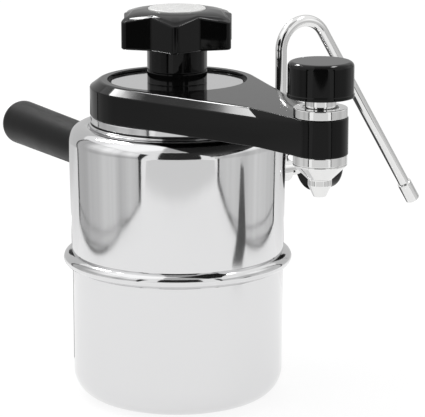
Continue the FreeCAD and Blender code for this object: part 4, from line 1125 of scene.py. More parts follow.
def make_closing_knob(sizes):
    """The knob as rings from the insert's bore, out over hub and lobes, to the cap's recess."""
    edge_points = lobed_outline(sizes)
    radii = [point.length for point in edge_points]
    ways = [point.normalized() for point in edge_points]
    dome = dome_curve(sizes, max(radii))
    foot = low("closing_knob").z
    head = foot + sizes.hub_height
    hub = sizes.hub_radius

    def ring(radius, height):
        return [Vector((way.x * radius, way.y * radius, height)) for way in ways]

    def lobed(inset, height):
        """A ring along the lobes. Its height may follow from the radius there."""
        points = []
        for way, radius in zip(ways, radii):
            out = radius - inset
            level = height(radius, out) if callable(height) else height
            points.append(Vector((way.x * out, way.y * out, level)))
        return points

    def over_dome(share):
        """A ring at a share of the way from the cap's rim to the lobed edge, on the dome."""
        points = []
        for way, radius in zip(ways, radii):
            out = sizes.cap_radius + (radius - sizes.cap_radius) * share
            points.append(Vector((way.x * out, way.y * out, dome(out))))
        return points

    def wall_top(radius, _):
        return dome(radius) - sizes.edge - SUPPORT

    bore = reach("knob_insert")
    insert_foot, insert_top = low("knob_insert").z, high("knob_insert").z
    inside = [
        ring(0.0, insert_top)[:1],
        ring(bore, insert_top),
        ring(bore, insert_foot),
        ring(reach("knob_washer") + sizes.fit, insert_foot),
        ring(reach("knob_washer") + sizes.fit, foot),
    ]
    outside = [
        ring(hub - sizes.hub_round, foot),
        ring(hub, foot + sizes.hub_round),
        ring(hub, foot + sizes.hub_round + SUPPORT),
        ring(hub, head - sizes.hub_fillet - SUPPORT),
        ring(hub, head - sizes.hub_fillet),
        ring(hub + sizes.hub_round, head - sizes.hub_fillet / 4),
        ring(hub + 3 * sizes.hub_round, head),
        lobed(sizes.lobe_foot, head),
        lobed(0.0, head + sizes.lobe_foot),
        lobed(0.0, head + sizes.lobe_foot + LOBE_SUPPORT),
        lobed(0.0, wall_top),
    ]
    for step in range(EDGE_STEPS + 1):
        turn = math.pi / 2 * step / EDGE_STEPS
        inset = sizes.edge * (1 - math.cos(turn))
        drop = sizes.edge_height * (1 - math.sin(turn))
        outside.append(lobed(inset, lambda radius, out: min(dome(radius) - drop, dome(out))))
    for step in range(1, DOME_STEPS):
        outside.append(over_dome(DOME_SHARE * (1 - step / DOME_STEPS)))
    rim = sizes.cap_radius
    recess = low("knob_cap").z
    outside += [
        ring(rim + sizes.rim_round, dome(rim + sizes.rim_round)),
        ring(rim + sizes.fit, dome(rim) - sizes.rim_round),
        ring(rim + sizes.fit, recess),
        ring(0.0, recess)[:1],
    ]
    return stack("closing_knob_lobed", inside + outside, crease=KNOB_CREASE)


def make_cap(sizes):
    """The bare white cap, slightly crowned."""
    bottom, top = low("knob_cap").z, high("knob_cap").z
    radius = sizes.cap_radius
    corners = [(0.0, bottom), (radius, bottom, sizes.cap_foot),
               (radius, top - sizes.cap_slope, sizes.cap_edge),
               (radius / 2, top, sizes.cap_round), (0.0, top)]
    return lathe("white_cap", outline(corners), CAP_STEPS)


# coffee valve, and what the steam valve shares with it

# Roundings of the finest edges and of plain turned ones. A valve's knob has a rim round its
# foot and a cover over its spindle's end.
CRISP = 0.0002
TURNED = 0.0003
KNOB_STEPS = 128
KNOB_FOOT_ROUND = 0.0006
KNOB_RIM = 0.0016
KNOB_RIM_TOP = 0.0020
KNOB_COVER = 0.004


class ESPRESSO_OT_coffee_valve(bpy.types.Operator):
    """Valve at the arm's end, with its rings, gland, spout and knob"""
    bl_idname = "espresso.coffee_valve"
    bl_label = "Coffee valve"

    def execute(self, context):
        sizes = context.scene.espresso_coffee_valve
        chrome = finishes["chrome"]
        place = at(ARM_END, 0.0, 0.0)
        dress(make_valve_stem(sizes, place), "lid", chrome, ["coffee_valve_body"])
        lock = turned_ring("lock_ring", sizes.stem_radius, reach("coffee_lock_ring", ARM_END),
                           low("coffee_lock_ring").z, high("coffee_lock_ring").z,
                           sizes.ring_round, place)
        dress(lock, "lid", chrome, ["coffee_lock_ring"])
        dress(make_gland(sizes, place), "lid", chrome, ["coffee_gland_nut"])
        dress(make_spout(sizes, place), "lid", chrome, ["coffee_spout"])
        smooth_copy("coffee_packing", "lid", finishes["packing"])
        smooth_copy("coffee_jumper", "coffee_seat_disc", finishes["brass"])
        smooth_copy("coffee_spindle", "coffee_valve_knob", chrome)
        knob = make_valve_knob("coffee_knob_cap", reach("coffee_knob", ARM_END),
                               sizes.knob_top, low("coffee_knob").z, high("coffee_knob").z,
                               sizes.knob_round, reach("coffee_spindle", ARM_END), place)
        dress(knob, "coffee_valve_knob", finishes["gloss_black"], ["coffee_knob"])
        return {"FINISHED"}


def make_valve_stem(sizes, place):
    """The valve's body: ring under the arm, stem through it, chamber and seat inside."""
    ring_radius = reach("coffee_valve_body", ARM_END)
    bottom, top = low("coffee_valve_body").z, high("coffee_valve_body").z
    shoulder = low("lid_arm").z
    seat = shoulder + sizes.seat_height
    socket_end = shoulder - sizes.socket_wall
    corners = [
        (sizes.socket_radius, bottom, CRISP),
        (ring_radius, bottom, sizes.ring_round),
        (ring_radius, shoulder, sizes.ring_round),
        (sizes.stem_radius, shoulder, 0.0),
        (sizes.stem_radius, top, TURNED),
        (sizes.chamber, top, TURNED),
        (sizes.chamber, seat, 0.0),
        (sizes.spout_bore, seat, TURNED),
        (sizes.spout_bore, socket_end, 0.0),
        (sizes.socket_radius, socket_end, 0.0),
    ]
    return lathe("valve_stem", outline(corners, closed=True), closed=True, place=place)


def make_gland(sizes, place):
    """The nut that holds the spindle's packing, over the stem's end."""
    foot, top = low("coffee_gland_nut").z, high("coffee_gland_nut").z
    seat = high("coffee_valve_body").z
    radius = reach("coffee_gland_nut", ARM_END)
    bore = reach("coffee_spindle", ARM_END) + SPINDLE_GAP
    corners = [
        (bore, foot, 0.0),
        (sizes.chamber, foot, CRISP),
        (sizes.chamber, seat, 0.0),
        (radius, seat, sizes.gland_foot),
        (radius, top, sizes.gland_top),
        (bore, top, TURNED),
    ]
    return lathe("gland_nut", outline(corners, closed=True), closed=True, place=place)


def make_spout(sizes, place):
    """The spout: rim, cone, short neck and a second cone to its tip."""
    tip, top = low("coffee_spout").z, high("coffee_spout").z
    rim = low("coffee_valve_body").z
    radius = reach("coffee_spout", ARM_END)
    cone_foot = rim - sizes.cone_drop
    neck_foot = cone_foot - sizes.neck_drop
    corners = [
        (sizes.spout_bore, tip, CRISP),
        (sizes.tip_radius, tip, TURNED),
        (sizes.neck_radius, neck_foot, sizes.neck_foot_round),
        (sizes.neck_radius, cone_foot, sizes.neck_top_round),
        (radius, rim - sizes.spout_rim, sizes.cone_round),
        (radius, rim, TURNED),
        (sizes.socket_radius, rim, 0.0),
        (sizes.socket_radius, top, 0.0),
        (sizes.spout_bore, top, 0.0),
    ]
    return lathe("spout", outline(corners, closed=True), closed=True, place=place)


def make_valve_knob(name, foot_radius, top_radius, foot, top, rounding, bore, place):
    """A round knob that is a little narrower at its top, with its spindle's bore."""
    corners = [
        (bore, foot, 0.0),
        (foot_radius, foot, KNOB_FOOT_ROUND),
        (foot_radius, foot + KNOB_RIM, TURNED),
        (top_radius, foot + KNOB_RIM_TOP, TURNED),
        (top_radius, top, rounding),
        (0.0, top),
        (0.0, top - KNOB_COVER),
        (bore, top - KNOB_COVER, 0.0),
    ]
    return lathe(name, outline(corners), KNOB_STEPS, True, place)


# steam valve and wand

GLAND_STEPS = 64
BEND_STEPS = 64
WAND_SIDES = 40
NOZZLE_STEPS = 48
STRAIGHT_BEFORE_BEND = 0.0005
LEG_SHARES = (0.005, 1.0)


class ESPRESSO_OT_steam_valve(bpy.types.Operator):
    """Steam valve on the boiler's side, with its knob, and the swivelling wand"""
    bl_idname = "espresso.steam_valve"
    bl_label = "Steam valve"

    def execute(self, context):
        sizes = context.scene.espresso_steam
        chrome = finishes["chrome"]
        along_y = at(0.0, 0.0, STEAM_AXIS) @ Matrix.Rotation(-math.pi / 2, 4, "X")
        for node in ("steam_boss", "steam_valve_body"):
            smooth_copy(node, "boiler", chrome)
        for node in ("steam_packing", "wand_packing"):
            smooth_copy(node, "boiler", finishes["packing"])
        smooth_copy("wand_nut", "boiler", chrome)
        dress(make_steam_gland(sizes, along_y), "boiler", chrome, ["steam_gland_nut"])
        smooth_copy("steam_jumper", "steam_seat_disc", finishes["brass"])
        smooth_copy("steam_spindle", "steam_valve_knob", chrome)
        radius = high("steam_knob").x
        foot, top = low("steam_knob").y, high("steam_knob").y
        knob = make_valve_knob("steam_knob_cap", radius, radius - sizes.knob_taper, foot, top,
                               sizes.knob_round, high("steam_spindle").x, along_y)
        dress(knob, "steam_valve_knob", finishes["gloss_black"], ["steam_knob"])
        dress(make_wand(sizes, chrome), "wand", chrome, ["steam_wand"])
        dress(make_nozzle(sizes), "wand", chrome, ["steam_nozzle"])
        smooth_copy("wand_collar", "wand", chrome)
        return {"FINISHED"}


def make_steam_gland(sizes, place):
    """The steam valve's long nut, with a groove round it."""
    foot, top = low("steam_gland_nut").y, high("steam_gland_nut").y
    seat = high("steam_valve_body").y
    bore = high("steam_spindle").x + SPINDLE_GAP
    outer = sizes.neck_radius
    spigot = outer - sizes.gland_spigot
    groove = outer - sizes.groove_depth
    start, end = seat + sizes.groove_start, seat + sizes.groove_end
    corners = [
        (bore, foot, 0.0),
        (spigot, foot, 0.0),
        (spigot, seat, 0.0),
        (outer, seat, TURNED),
        (outer, start, CRISP),
        (groove, start + sizes.groove_slope, CRISP),
        (groove, end - sizes.groove_slope, CRISP),
        (outer, end, CRISP),
        (outer, top, sizes.gland_round),
        (bore, top, CRISP),
    ]
    return lathe("steam_gland", outline(corners, closed=True), GLAND_STEPS, True, place)


def wand_path(sizes):
    """Up from the port, round the bend and down the leg. Each straight run has a point
    close to the bend, which keeps the tube's section round there."""
    points = [(0.0, WAND_PORT, STEAM_AXIS + sizes.wand_seat),
              (0.0, WAND_PORT, sizes.bend_height - STRAIGHT_BEFORE_BEND)]
    centre = WAND_PORT + sizes.wand_bend
    for step in range(BEND_STEPS + 1):
        turn = math.pi - (math.pi - sizes.slope) * step / BEND_STEPS
        points.append((0.0, centre + sizes.wand_bend * math.cos(turn),
                       sizes.bend_height + sizes.wand_bend * math.sin(turn)))
    _, across, height = points[-1]
    for share in LEG_SHARES:
        points.append((0.0, across + sizes.drop * share * math.sin(sizes.slope),
                       height - sizes.drop * share * math.cos(sizes.slope)))
    return points


def make_wand(sizes, finish):
    """The wand's tube along its path."""
    tree, sockets = tube_tree()
    path = path_object("steam_wand_tube", wand_path(sizes))
    values = {"Tube radius": sizes.wand_radius, "Count": WAND_SIDES, "Material": finish.data}
    tube = run_tree(path, tree, sockets, values, "steam_wand_tube")
    smooth(tube.data, TUBE_CREASE)
    return tube


def make_nozzle(sizes):
    """The nozzle, a sleeve over the tube's end with a narrow hole in its face."""
    _, across, height = wand_path(sizes)[-1]
    back, front = -sizes.nozzle_back, sizes.nozzle_front
    radius, tube = sizes.nozzle_radius, sizes.wand_radius
    corners = [
        (tube, back, 0.0),
        (tube + sizes.nozzle_round, back, CRISP),
        (radius, back + sizes.nozzle_round, CRISP),
        (radius, front - sizes.nozzle_slope, TURNED),
        (tube + sizes.nozzle_tip, front, CRISP),
        (sizes.nozzle_bore, front, sizes.bore_edge),
        (sizes.nozzle_bore, 0.0, 0.0),
        (tube, 0.0, 0.0),
    ]
    place = at(0.0, across, height) @ Matrix.Rotation(math.pi + sizes.slope, 4, "X")
    return lathe("wand_nozzle", outline(corners, closed=True), NOZZLE_STEPS, True, place)


# safety valve

class ESPRESSO_OT_safety_valve(bpy.types.Operator):
    """Safety valve at the back, with its ball and coil spring"""
    bl_idname = "espresso.safety_valve"
    bl_label = "Safety valve"

    def execute(self, context):
        sizes = context.scene.espresso_steam
        smooth_copy("safety_body", "boiler", finishes["chrome"])
        smooth_copy("safety_cap", "boiler", finishes["brass"])
        steel = finishes["inner_steel"]
        smooth_copy("safety_ball", "boiler", steel)
        dress(make_spring(sizes, steel), "boiler", steel, ["safety_spring"])
        return {"FINISHED"}


def middle_of(node):
    return (low(node) + high(node)) / 2


def make_spring(sizes, finish):
    """The coil between ball and cap, on the line through the two."""
    ball = middle_of("safety_ball")
    along = (middle_of("safety_cap") - ball).normalized()
    centre = ball + along * (middle_of("safety_spring") - ball).dot(along)
    tree, sockets = spring_tree()
    holder = new_object("safety_coil", bpy.data.meshes.new("safety_coil"))
    values = {
        "Turns": sizes.coil_turns,
        "Coil radius": sizes.coil_radius,
        "Coil height": sizes.coil_height,
        "Tube radius": sizes.wire_radius,
        "Material": finish.data,
    }
    coil = run_tree(holder, tree, sockets, values, "safety_coil")
    turn = along.to_track_quat("Z", "Y").to_matrix().to_4x4()
    coil.data.transform(Matrix.Translation(centre) @ turn @ at(0.0, 0.0, -sizes.coil_height / 2))
    smooth(coil.data, THREAD_CREASE)
    return coil


# basket, pan, riser and filter

class ESPRESSO_OT_basket(bpy.types.Operator):
    """Coffee basket with its pan and riser, its gasket, and the upper filter"""
    bl_idname = "espresso.basket"
    bl_label = "Basket and filter"

    def execute(self, context):
        for node in ("coffee_basket", "basket_pan", "riser_tube"):
            smooth_copy(node, "basket", finishes["inner_steel"])
        smooth_copy("basket_gasket", "basket", finishes["seal"])
        smooth_copy("upper_filter", "filter", finishes["inner_steel"])
        return {"FINISHED"}


# stage

SENSOR_WIDTH = 36.0
FARTHEST = 20.0


class ESPRESSO_OT_stage(bpy.types.Operator):
    """Pale floor, even light, a soft key light, cards to reflect and the camera"""
    bl_idname = "espresso.stage"
    bl_label = "Stage"

    def execute(self, context):
        settings = context.scene.espresso_stage
        context.scene.view_settings.view_transform = "Standard"
        make_world(settings)
        make_floor(settings)
        make_lights(settings)
        make_cards(settings)
        make_camera(settings)
        return {"FINISHED"}


def make_world(settings):
    """Even light on the object, and plain white behind it."""
    world = bpy.data.worlds.new("studio")
    bpy.context.scene.world = world
    world.use_nodes = True
    tree = world.node_tree
    tree.nodes.clear()
    out = tree.nodes.new("ShaderNodeOutputWorld")
    even = tree.nodes.new("ShaderNodeBackground")
    even.inputs["Strength"].default_value = settings.ambient
    seen = tree.nodes.new("ShaderNodeBackground")
    seen.inputs["Strength"].default_value = 1.0
    for node in (even, seen):
        node.inputs["Color"].default_value = (1.0, 1.0, 1.0, 1.0)
    mix = tree.nodes.new("ShaderNodeMixShader")
    tree.links.new(seen_factor(tree), mix.inputs["Fac"])
    tree.links.new(even.outputs["Background"], mix.inputs[1])
    tree.links.new(seen.outputs["Background"], mix.inputs[2])
    tree.links.new(mix.outputs["Shader"], out.inputs["Surface"])


def seen_factor(tree):
    """1 where the camera, a mirror or glass looks, and 0 for light on matt surfaces."""
    light = tree.nodes.new("ShaderNodeLightPath")
    first = tree.nodes.new("ShaderNodeMath")
    first.operation = "MAXIMUM"
    second = tree.nodes.new("ShaderNodeMath")
    second.operation = "MAXIMUM"
    tree.links.new(light.outputs["Is Camera Ray"], first.inputs[0])
    tree.links.new(light.outputs["Is Glossy Ray"], first.inputs[1])
    tree.links.new(first.outputs["Value"], second.inputs[0])
    tree.links.new(light.outputs["Is Transmission Ray"], second.inputs[1])
    return second.outputs["Value"]


def make_floor(settings):
    """A matt floor that keeps the shadow, with its brightness added where it is seen."""
    work = bmesh.new()
    bmesh.ops.create_grid(work, x_segments=1, y_segments=1, size=settings.floor_size)
    floor = from_bmesh("studio_floor", work)
    floor.location.z = -settings.floor_drop
    material = bpy.data.materials.new("white_floor")
    material.use_nodes = True
    tree = material.node_tree
    tree.nodes.clear()
    out = tree.nodes.new("ShaderNodeOutputMaterial")
    matt = tree.nodes.new("ShaderNodeBsdfDiffuse")
    matt.inputs["Color"].default_value = (*[settings.floor_grey] * 3, 1.0)
    seen = tree.nodes.new("ShaderNodeEmission")
    seen.inputs["Color"].default_value = (*[settings.floor_level] * 3, 1.0)
    tree.links.new(seen_factor(tree), seen.inputs["Strength"])
    both = tree.nodes.new("ShaderNodeAddShader")
    tree.links.new(matt.outputs["BSDF"], both.inputs[0])
    tree.links.new(seen.outputs["Emission"], both.inputs[1])
    tree.links.new(both.outputs["Shader"], out.inputs["Surface"])
    floor.data.materials.append(material)


def make_lights(settings):
    """One soft lamp above the front, which the metal doesn't mirror."""
    data = bpy.data.lights.new("soft_key", "AREA")
    data.shape = "DISK"
    data.size = settings.key_size
    data.energy = settings.key
    lamp = new_object("soft_key", data)
    lamp.visible_glossy = False
    lamp.location = settings.key_place
    direction = Vector(settings.key_aim) - lamp.location
    lamp.rotation_euler = direction.to_track_quat("-Z", "Y").to_euler()


# The studio that polished metal mirrors, and that nothing else sees. Places are in metres to
# the camera's right and towards it, with a height where there is a third number. Levels of
# light are stops: a place from 0 to 1, and the level there. Along a wall they run from its
# rear end, and upward from its foot. A wall's fade is the stretch along it over which its
# upper part gets its own levels, since its rear is as even as its foot.

Wall = namedtuple("Wall", "name feet along upward fade")
Lamp = namedtuple("Lamp", "name centre run width level stops")
Card = namedtuple("Card", "name corners level")
Ground = namedtuple("Ground", "name near far height along upward")

# no ramp goes above the brightest level
BRIGHTEST = 2.0
DARK = 0.03
LINE = 0.12
WALL_EVEN = 0.85
STREAK_SCALE = 26.0
STREAK_DEPTH = 0.07
UPRIGHT = (1.0, 1.0, 0.06)
EVEN = ((0.0, 1.0), (1.0, 1.0))
SOFT_EDGES = ((0.0, 0.0), (0.25, 1.0), (0.75, 1.0), (1.0, 0.0))

WALLS = (
    Wall("left",
         feet=((-0.333, -0.225), (-0.333, -0.120), (-0.333, 0.0), (-0.333, 0.110),
               (-0.333, 0.216), (-0.318, 0.265), (-0.298, 0.326), (-0.277, 0.380)),
         along=((0.0, 0.60), (0.30, 0.61), (0.43, 0.66), (0.53, 0.78), (0.61, 0.74),
                (0.71, 0.58), (0.83, 0.72), (1.0, 0.62)),
         upward=((0.0, 1.0), (0.15, 1.0), (0.28, 0.80), (0.38, 0.85), (0.54, 1.25),
                 (0.68, 1.55)),
         fade=(0.16, 0.36)),
    Wall("right",
         feet=((0.345, -0.203), (0.345, 0.0), (0.345, 0.120), (0.345, 0.250), (0.350, 0.393)),
         along=((0.0, 0.80), (0.20, 0.75), (0.41, 0.76), (0.54, 0.64), (0.66, 0.74),
                (1.0, 0.72)),
         upward=((0.0, 1.0), (0.15, 1.0), (0.28, 0.85), (0.50, 0.85), (0.62, 1.3),
                 (0.75, 1.5)),
         fade=(0.10, 0.25)),
)
# two thin lines that run along both walls, as (towards the camera, height)
WALL_LINES = (
    ((-0.216, 0.001), (-0.074, 0.006), (0.027, 0.006), (0.128, 0.001)),
    ((-0.203, 0.015), (0.0, 0.015), (0.097, 0.011), (0.200, 0.007), (0.280, 0.001)),
)
LAMPS = (
    Lamp("left_lamp", centre=(-0.534, -0.443, 1.10), run=(0.383, 0.288, 0.146), width=0.09,
         level=24.0,
         stops=((0.30, 0.0), (0.33, 0.7), (0.355, 0.7), (0.375, 0.1), (0.40, 0.0), (0.52, 0.0),
                (0.56, 0.12), (0.60, 0.8), (0.645, 1.0), (0.75, 0.6), (0.9, 0.0))),
    Lamp("corner_lamp", centre=(-0.5565, -0.552, 0.9315), run=(0.031, 0.176, 0.153), width=0.14,
         level=24.0, stops=((0.0, 0.3), (0.12, 1.0), (0.85, 0.8), (1.0, 0.7))),
    Lamp("rear_lamp", centre=(-0.220, -0.402, 0.709), run=(0.164, -0.192, -0.086), width=0.10,
         level=36.0, stops=((0.0, 0.0), (0.1, 1.0), (0.9, 1.0), (1.0, 0.0))),
    Lamp("right_lamp", centre=(0.455, -0.121, 1.195), run=(0.11, 0.65, 0.154), width=0.20,
         level=24.0, stops=((0.0, 0.0), (0.3, 1.0), (0.7, 1.0), (1.0, 0.0))),
    Lamp("left_sky", centre=(-0.609, 0.170, 1.30), run=(0.40, 1.40, 0.0), width=1.6,
         level=0.30, stops=SOFT_EDGES),
)
FLAT_CARDS = (
    Card("dark_card", ((-0.20, 0.6, 0.09), (0.273, 0.6, 0.09), (0.273, 0.6, 0.73),
                       (-0.20, 0.6, 0.73)), DARK),
    Card("front_ceiling", ((-0.19, 0.6, 0.78), (0.40, 0.6, 0.78), (0.40, 0.1, 0.95),
                           (-0.10, 0.1, 0.95)), 0.5),
    Card("rear_wall", ((-1.2, -0.66, 0.0), (1.2, -0.66, 0.0), (1.2, -0.66, 0.6),
                       (-1.2, -0.66, 0.6)), 0.62),
    Card("streak_wall", ((0.343, 0.098, 0.0), (0.343, 0.170, 0.0), (0.343, 0.152, 0.048),
                         (0.343, 0.126, 0.048)), 0.11),
    Card("streak_floor", ((0.262, 0.176, 0.0), (0.348, 0.174, 0.0), (0.361, 0.096, 0.0),
                          (0.290, 0.116, 0.0)), 0.11),
    Card("right_foot", ((0.340, 0.393, 0.0), (0.340, 0.170, 0.0), (0.340, 0.170, 0.003),
                        (0.340, 0.393, 0.009)), 0.10),
)
# parts of the floor, whose levels run upward from their near line to their far one
GROUNDS = (
    Ground("front_floor", height=0.0,
           near=((-0.27, 0.425), (-0.115, 0.455), (0.0, 0.462), (0.115, 0.455), (0.22, 0.436),
                 (0.34, 0.390)),
           far=((-0.60, 1.45), (-0.30, 1.45), (0.0, 1.45), (0.20, 1.45), (0.40, 1.45),
                (0.70, 1.45)),
           along=EVEN, upward=((0.0, 1.0), (0.035, 0.80), (1.0, 0.78))),
    Ground("rear_floor", height=0.0,
           near=((-0.8, -0.20), (0.8, -0.20)), far=((-0.8, -0.66), (0.8, -0.66)),
           along=EVEN, upward=((0.0, 1.0), (0.30, 0.88), (0.62, 0.70), (1.0, 0.60))),
    Ground("rear_shade", height=0.0002,
           near=((-0.07, -0.057), (0.045, -0.057)), far=((-0.15, -0.38), (0.12, -0.38)),
           along=((0.0, 1.0), (0.2, 0.3), (0.85, 0.3), (1.0, 1.0)),
           upward=((0.0, 0.2), (0.8, 0.3), (1.0, 2.0))),
)


def glow(name):
    """A material that only gives light, with its tree and the light's node."""
    material = bpy.data.materials.new(name)
    material.use_nodes = True
    tree = material.node_tree
    tree.nodes.clear()
    out = tree.nodes.new("ShaderNodeOutputMaterial")
    light = tree.nodes.new("ShaderNodeEmission")
    light.inputs["Color"].default_value = (1.0, 1.0, 1.0, 1.0)
    tree.links.new(light.outputs["Emission"], out.inputs["Surface"])
    return material, tree, light


def even_glow(name, level):
    """A material that gives the same light all over."""
    material, _, light = glow(name)
    light.inputs["Strength"].default_value = level
    return material


def ramp(tree, value, stops):
    """Light levels that change smoothly over a value, from (place, level) stops."""
    curve = tree.nodes.new("ShaderNodeValToRGB")
    curve.color_ramp.interpolation = "EASE"
    elements = curve.color_ramp.elements
    elements.remove(elements[1])
    for index, (place, level) in enumerate(stops):
        element = elements[0] if index == 0 else elements.new(place)
        element.position = place
        share = level / BRIGHTEST
        element.color = (share, share, share, 1.0)
    tree.links.new(value, curve.inputs["Fac"])
    return calculate(tree, "MULTIPLY", curve.outputs["Color"], BRIGHTEST)


def calculate(tree, operation, first, second):
    """One step of arithmetic. The second value may be a plain number."""
    node = tree.nodes.new("ShaderNodeMath")
    node.operation = operation
    tree.links.new(first, node.inputs[0])
    if isinstance(second, (int, float)):
        node.inputs[1].default_value = second
    else:
        tree.links.new(second, node.inputs[1])
    return node.outputs["Value"]


def card_places(tree):
    """The two coordinates of a card: along its foot and up from it, both from 0 to 1."""
    where = tree.nodes.new("ShaderNodeUVMap")
    parts = tree.nodes.new("ShaderNodeSeparateXYZ")
    tree.links.new(where.outputs["UV"], parts.inputs["Vector"])
    return parts.outputs["X"], parts.outputs["Y"]


def graded_glow(name, along, upward):
    """Light that changes along a card and up it, each over its own stops."""
    material, tree, light = glow(name)
    across, up = card_places(tree)
    level = calculate(tree, "MULTIPLY", ramp(tree, across, along), ramp(tree, up, upward))
    tree.links.new(level, light.inputs["Strength"])
    return material


def wall_glow(name, wall):
    """Grey light of a side wall, with soft upright streaks through it."""
    material, tree, light = glow(name)
    across, up = card_places(tree)
    height = ramp(tree, up, wall.upward)
    fade = tree.nodes.new("ShaderNodeMapRange")
    fade.interpolation_type = "SMOOTHSTEP"
    fade.inputs["From Min"].default_value, fade.inputs["From Max"].default_value = wall.fade
    tree.links.new(across, fade.inputs["Value"])
    mixed = tree.nodes.new("ShaderNodeMix")
    mixed.inputs["A"].default_value = WALL_EVEN
    tree.links.new(fade.outputs["Result"], mixed.inputs["Factor"])
    tree.links.new(height, mixed.inputs["B"])
    streaks = stretched_noise(tree, UPRIGHT, STREAK_SCALE, 1.5)
    spread = tree.nodes.new("ShaderNodeMapRange")
    spread.inputs["From Min"].default_value = 0.3
    spread.inputs["From Max"].default_value = 0.7
    spread.inputs["To Min"].default_value = 1.0 - STREAK_DEPTH
    spread.inputs["To Max"].default_value = 1.0 + STREAK_DEPTH
    tree.links.new(streaks.outputs["Fac"], spread.inputs["Value"])
    level = calculate(tree, "MULTIPLY", ramp(tree, across, wall.along), mixed.outputs["Result"])
    level = calculate(tree, "MULTIPLY", level, spread.outputs["Result"])
    tree.links.new(level, light.inputs["Strength"])
    return material


def lamp_glow(name, level, along):
    """Light of a lamp, added to the white round it. It changes along the card and fades
    out at its lower and upper edge."""
    material, tree, light = glow(name)
    across, up = card_places(tree)
    share = calculate(tree, "MULTIPLY", ramp(tree, across, along), ramp(tree, up, SOFT_EDGES))
    strength = calculate(tree, "MULTIPLY", share, level)
    tree.links.new(calculate(tree, "ADD", strength, 1.0), light.inputs["Strength"])
    return material


def place_card(name, lower, upper, material):
    """A strip between two lines of points that only polished surfaces see. Its UV map
    runs from 0 to 1 along it and from the lower line to the upper."""
    mesh = bpy.data.meshes.new(name)
    count = len(lower)
    faces = [(index, index + 1, count + index + 1, count + index) for index in range(count - 1)]
    mesh.from_pydata([*lower, *upper], [], faces)
    places = mesh.uv_layers.new(name="UVMap")
    steps = [0.0]
    for here, onward in zip(lower, lower[1:]):
        steps.append(steps[-1] + (onward - here).length)
    for loop, item in zip(mesh.loops, places.uv):
        index = loop.vertex_index
        item.vector = (steps[index % count] / steps[-1], index // count)
    mesh.materials.append(material)
    card = new_object(name, mesh)
    card.visible_camera = False
    card.visible_diffuse = False
    card.visible_transmission = False
    card.visible_shadow = False


def make_cards(settings):
    """Side walls, dark cards, floor and lamps, as the polished metal reflects them."""
    cosine, sine = math.cos(settings.azimuth), math.sin(settings.azimuth)

    def spot(right, front, height=0.0):
        """A place in the studio, as the camera has it to its right and nearer to it."""
        return Vector((right * cosine + front * sine, right * sine - front * cosine, height))

    def standing(name, feet, lower, upper, material, heads=None):
        """A card on its feet, between a lower and an upper height for each of them."""
        place_card(name, [spot(*foot, height) for foot, height in zip(feet, lower)],
                   [spot(*head, height) for head, height in zip(heads or feet, upper)], material)

    dark = even_glow("dark_edge", DARK)
    line = even_glow("wall_line", LINE)
    for wall in WALLS:
        make_wall(wall, settings, standing, dark, line)
    for card in FLAT_CARDS:
        points = [spot(*corner) for corner in card.corners]
        place_card(card.name, points[:2], points[:1:-1], even_glow(card.name, card.level))
    for ground in GROUNDS:
        grey = graded_glow(f"{ground.name}_grey", ground.along, ground.upward)
        levels = [ground.height] * len(ground.near)
        standing(ground.name, ground.near, levels, levels, grey, ground.far)
    for lamp in LAMPS:
        centre = spot(*lamp.centre)
        half = spot(*lamp.run) / 2
        rise = centre.cross(half).normalized() * lamp.width / 2
        place_card(lamp.name, [centre - half - rise, centre + half - rise],
                   [centre - half + rise, centre + half + rise],
                   lamp_glow(f"{lamp.name}_light", lamp.level, lamp.stops))


def make_wall(wall, settings, standing, dark, line):
    """A grey side wall with its dark edges and the lines along it."""
    height = settings.wall_height
    count = len(wall.feet)
    near = inward(wall.feet, settings.trim_gap)
    nearer = inward(wall.feet, settings.line_gap)
    grey = wall_glow(f"{wall.name}_wall_grey", wall)
    standing(f"{wall.name}_wall", wall.feet, [0.0] * count, [height] * count, grey)
    standing(f"{wall.name}_wall_top", near, [height - settings.top_trim] * count,
             [height] * count, line)
    standing(f"{wall.name}_wall_foot", near, [0.0] * count, [settings.foot_trim] * count, dark)
    for index, stops in enumerate(WALL_LINES):
        levels = [between(stops, front) for _, front in wall.feet]
        standing(f"{wall.name}_wall_line_{index}", nearer, levels,
                 [level + settings.line_width for level in levels], line)
    for end, tip, onward, flare in (("rear", near[0], near[1], 0.0),
                                    ("front", near[-1], near[-2], settings.wall_flare)):
        tip = Vector(tip)
        edge = (Vector(onward) - tip).normalized()
        stop = tip + edge * settings.wall_edge
        standing(f"{wall.name}_wall_{end}", [tip, stop], [0.0] * 2, [height] * 2, dark,
                 [tip - edge * flare, stop])


def inward(feet, step):
    """A wall's feet, moved towards the camera's line of sight."""
    return [(right - math.copysign(step, right), front) for right, front in feet]


def between(stops, place):
    """The height that a line of the wall has at a place along it."""
    for (start, first), (end, last) in zip(stops, stops[1:]):
        if place <= end:
            share = max(0.0, (place - start) / (end - start))
            return first + (last - first) * share
    return stops[-1][1]


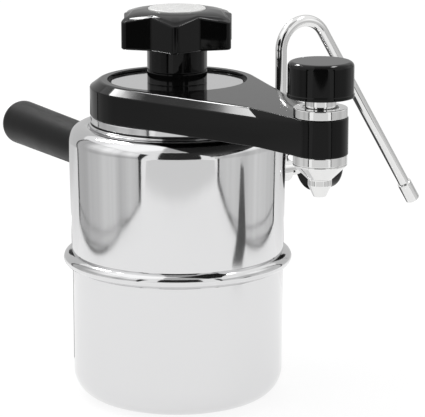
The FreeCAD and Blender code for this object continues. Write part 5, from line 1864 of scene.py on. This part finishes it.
def make_camera(settings):
    """The photograph's camera."""
    data = bpy.data.cameras.new("camera")
    data.sensor_width = SENSOR_WIDTH
    data.lens = settings.focal_pixels / settings.photo_width * data.sensor_width
    data.clip_end = FARTHEST
    camera = new_object("camera", data)
    sine, cosine = math.sin(settings.azimuth), math.cos(settings.azimuth)
    camera.location = (
        settings.away * sine + settings.aside * cosine,
        -settings.away * cosine + settings.aside * sine,
        settings.height)
    camera.rotation_euler = (math.pi / 2 - settings.pitch, 0.0, settings.azimuth)
    bpy.context.scene.camera = camera


class ESPRESSO_PT_panel(bpy.types.Panel):
    """Lists the pieces"""
    bl_label = "Espresso maker"
    bl_idname = "ESPRESSO_PT_panel"
    bl_space_type = "VIEW_3D"
    bl_region_type = "UI"
    bl_category = "Espresso maker"

    def draw(self, context):
        for operator in OPERATORS:
            self.layout.operator(operator.bl_idname)


OPERATORS = (
    ESPRESSO_OT_boiler,
    ESPRESSO_OT_handle,
    ESPRESSO_OT_basket,
    ESPRESSO_OT_lid,
    ESPRESSO_OT_closing_knob,
    ESPRESSO_OT_coffee_valve,
    ESPRESSO_OT_steam_valve,
    ESPRESSO_OT_safety_valve,
    ESPRESSO_OT_stage,
)

GROUPS = {
    "espresso_boiler": BoilerSizes,
    "espresso_handle": HandleSizes,
    "espresso_lid": LidSizes,
    "espresso_closing_knob": ClosingKnobSizes,
    "espresso_coffee_valve": CoffeeValveSizes,
    "espresso_steam": SteamSizes,
    "espresso_finishes": Finishes,
    "espresso_stage": StageSettings,
}


def register():
    for name, group in GROUPS.items():
        bpy.utils.register_class(group)
        setattr(bpy.types.Scene, name, PointerProperty(type=group))
    for operator in OPERATORS:
        bpy.utils.register_class(operator)
    bpy.utils.register_class(ESPRESSO_PT_panel)


def unregister():
    bpy.utils.unregister_class(ESPRESSO_PT_panel)
    for operator in reversed(OPERATORS):
        bpy.utils.unregister_class(operator)
    for name, group in GROUPS.items():
        delattr(bpy.types.Scene, name)
        bpy.utils.unregister_class(group)


def main():
    register()
    scene = bpy.context.scene
    make_finishes(scene.espresso_finishes, scene.espresso_boiler)
    bpy.ops.espresso.boiler()
    bpy.ops.espresso.handle()
    bpy.ops.espresso.basket()
    bpy.ops.espresso.lid()
    bpy.ops.espresso.closing_knob()
    bpy.ops.espresso.coffee_valve()
    bpy.ops.espresso.steam_valve()
    bpy.ops.espresso.safety_valve()
    bpy.ops.espresso.stage()


if __name__ == "__main__":
    main()
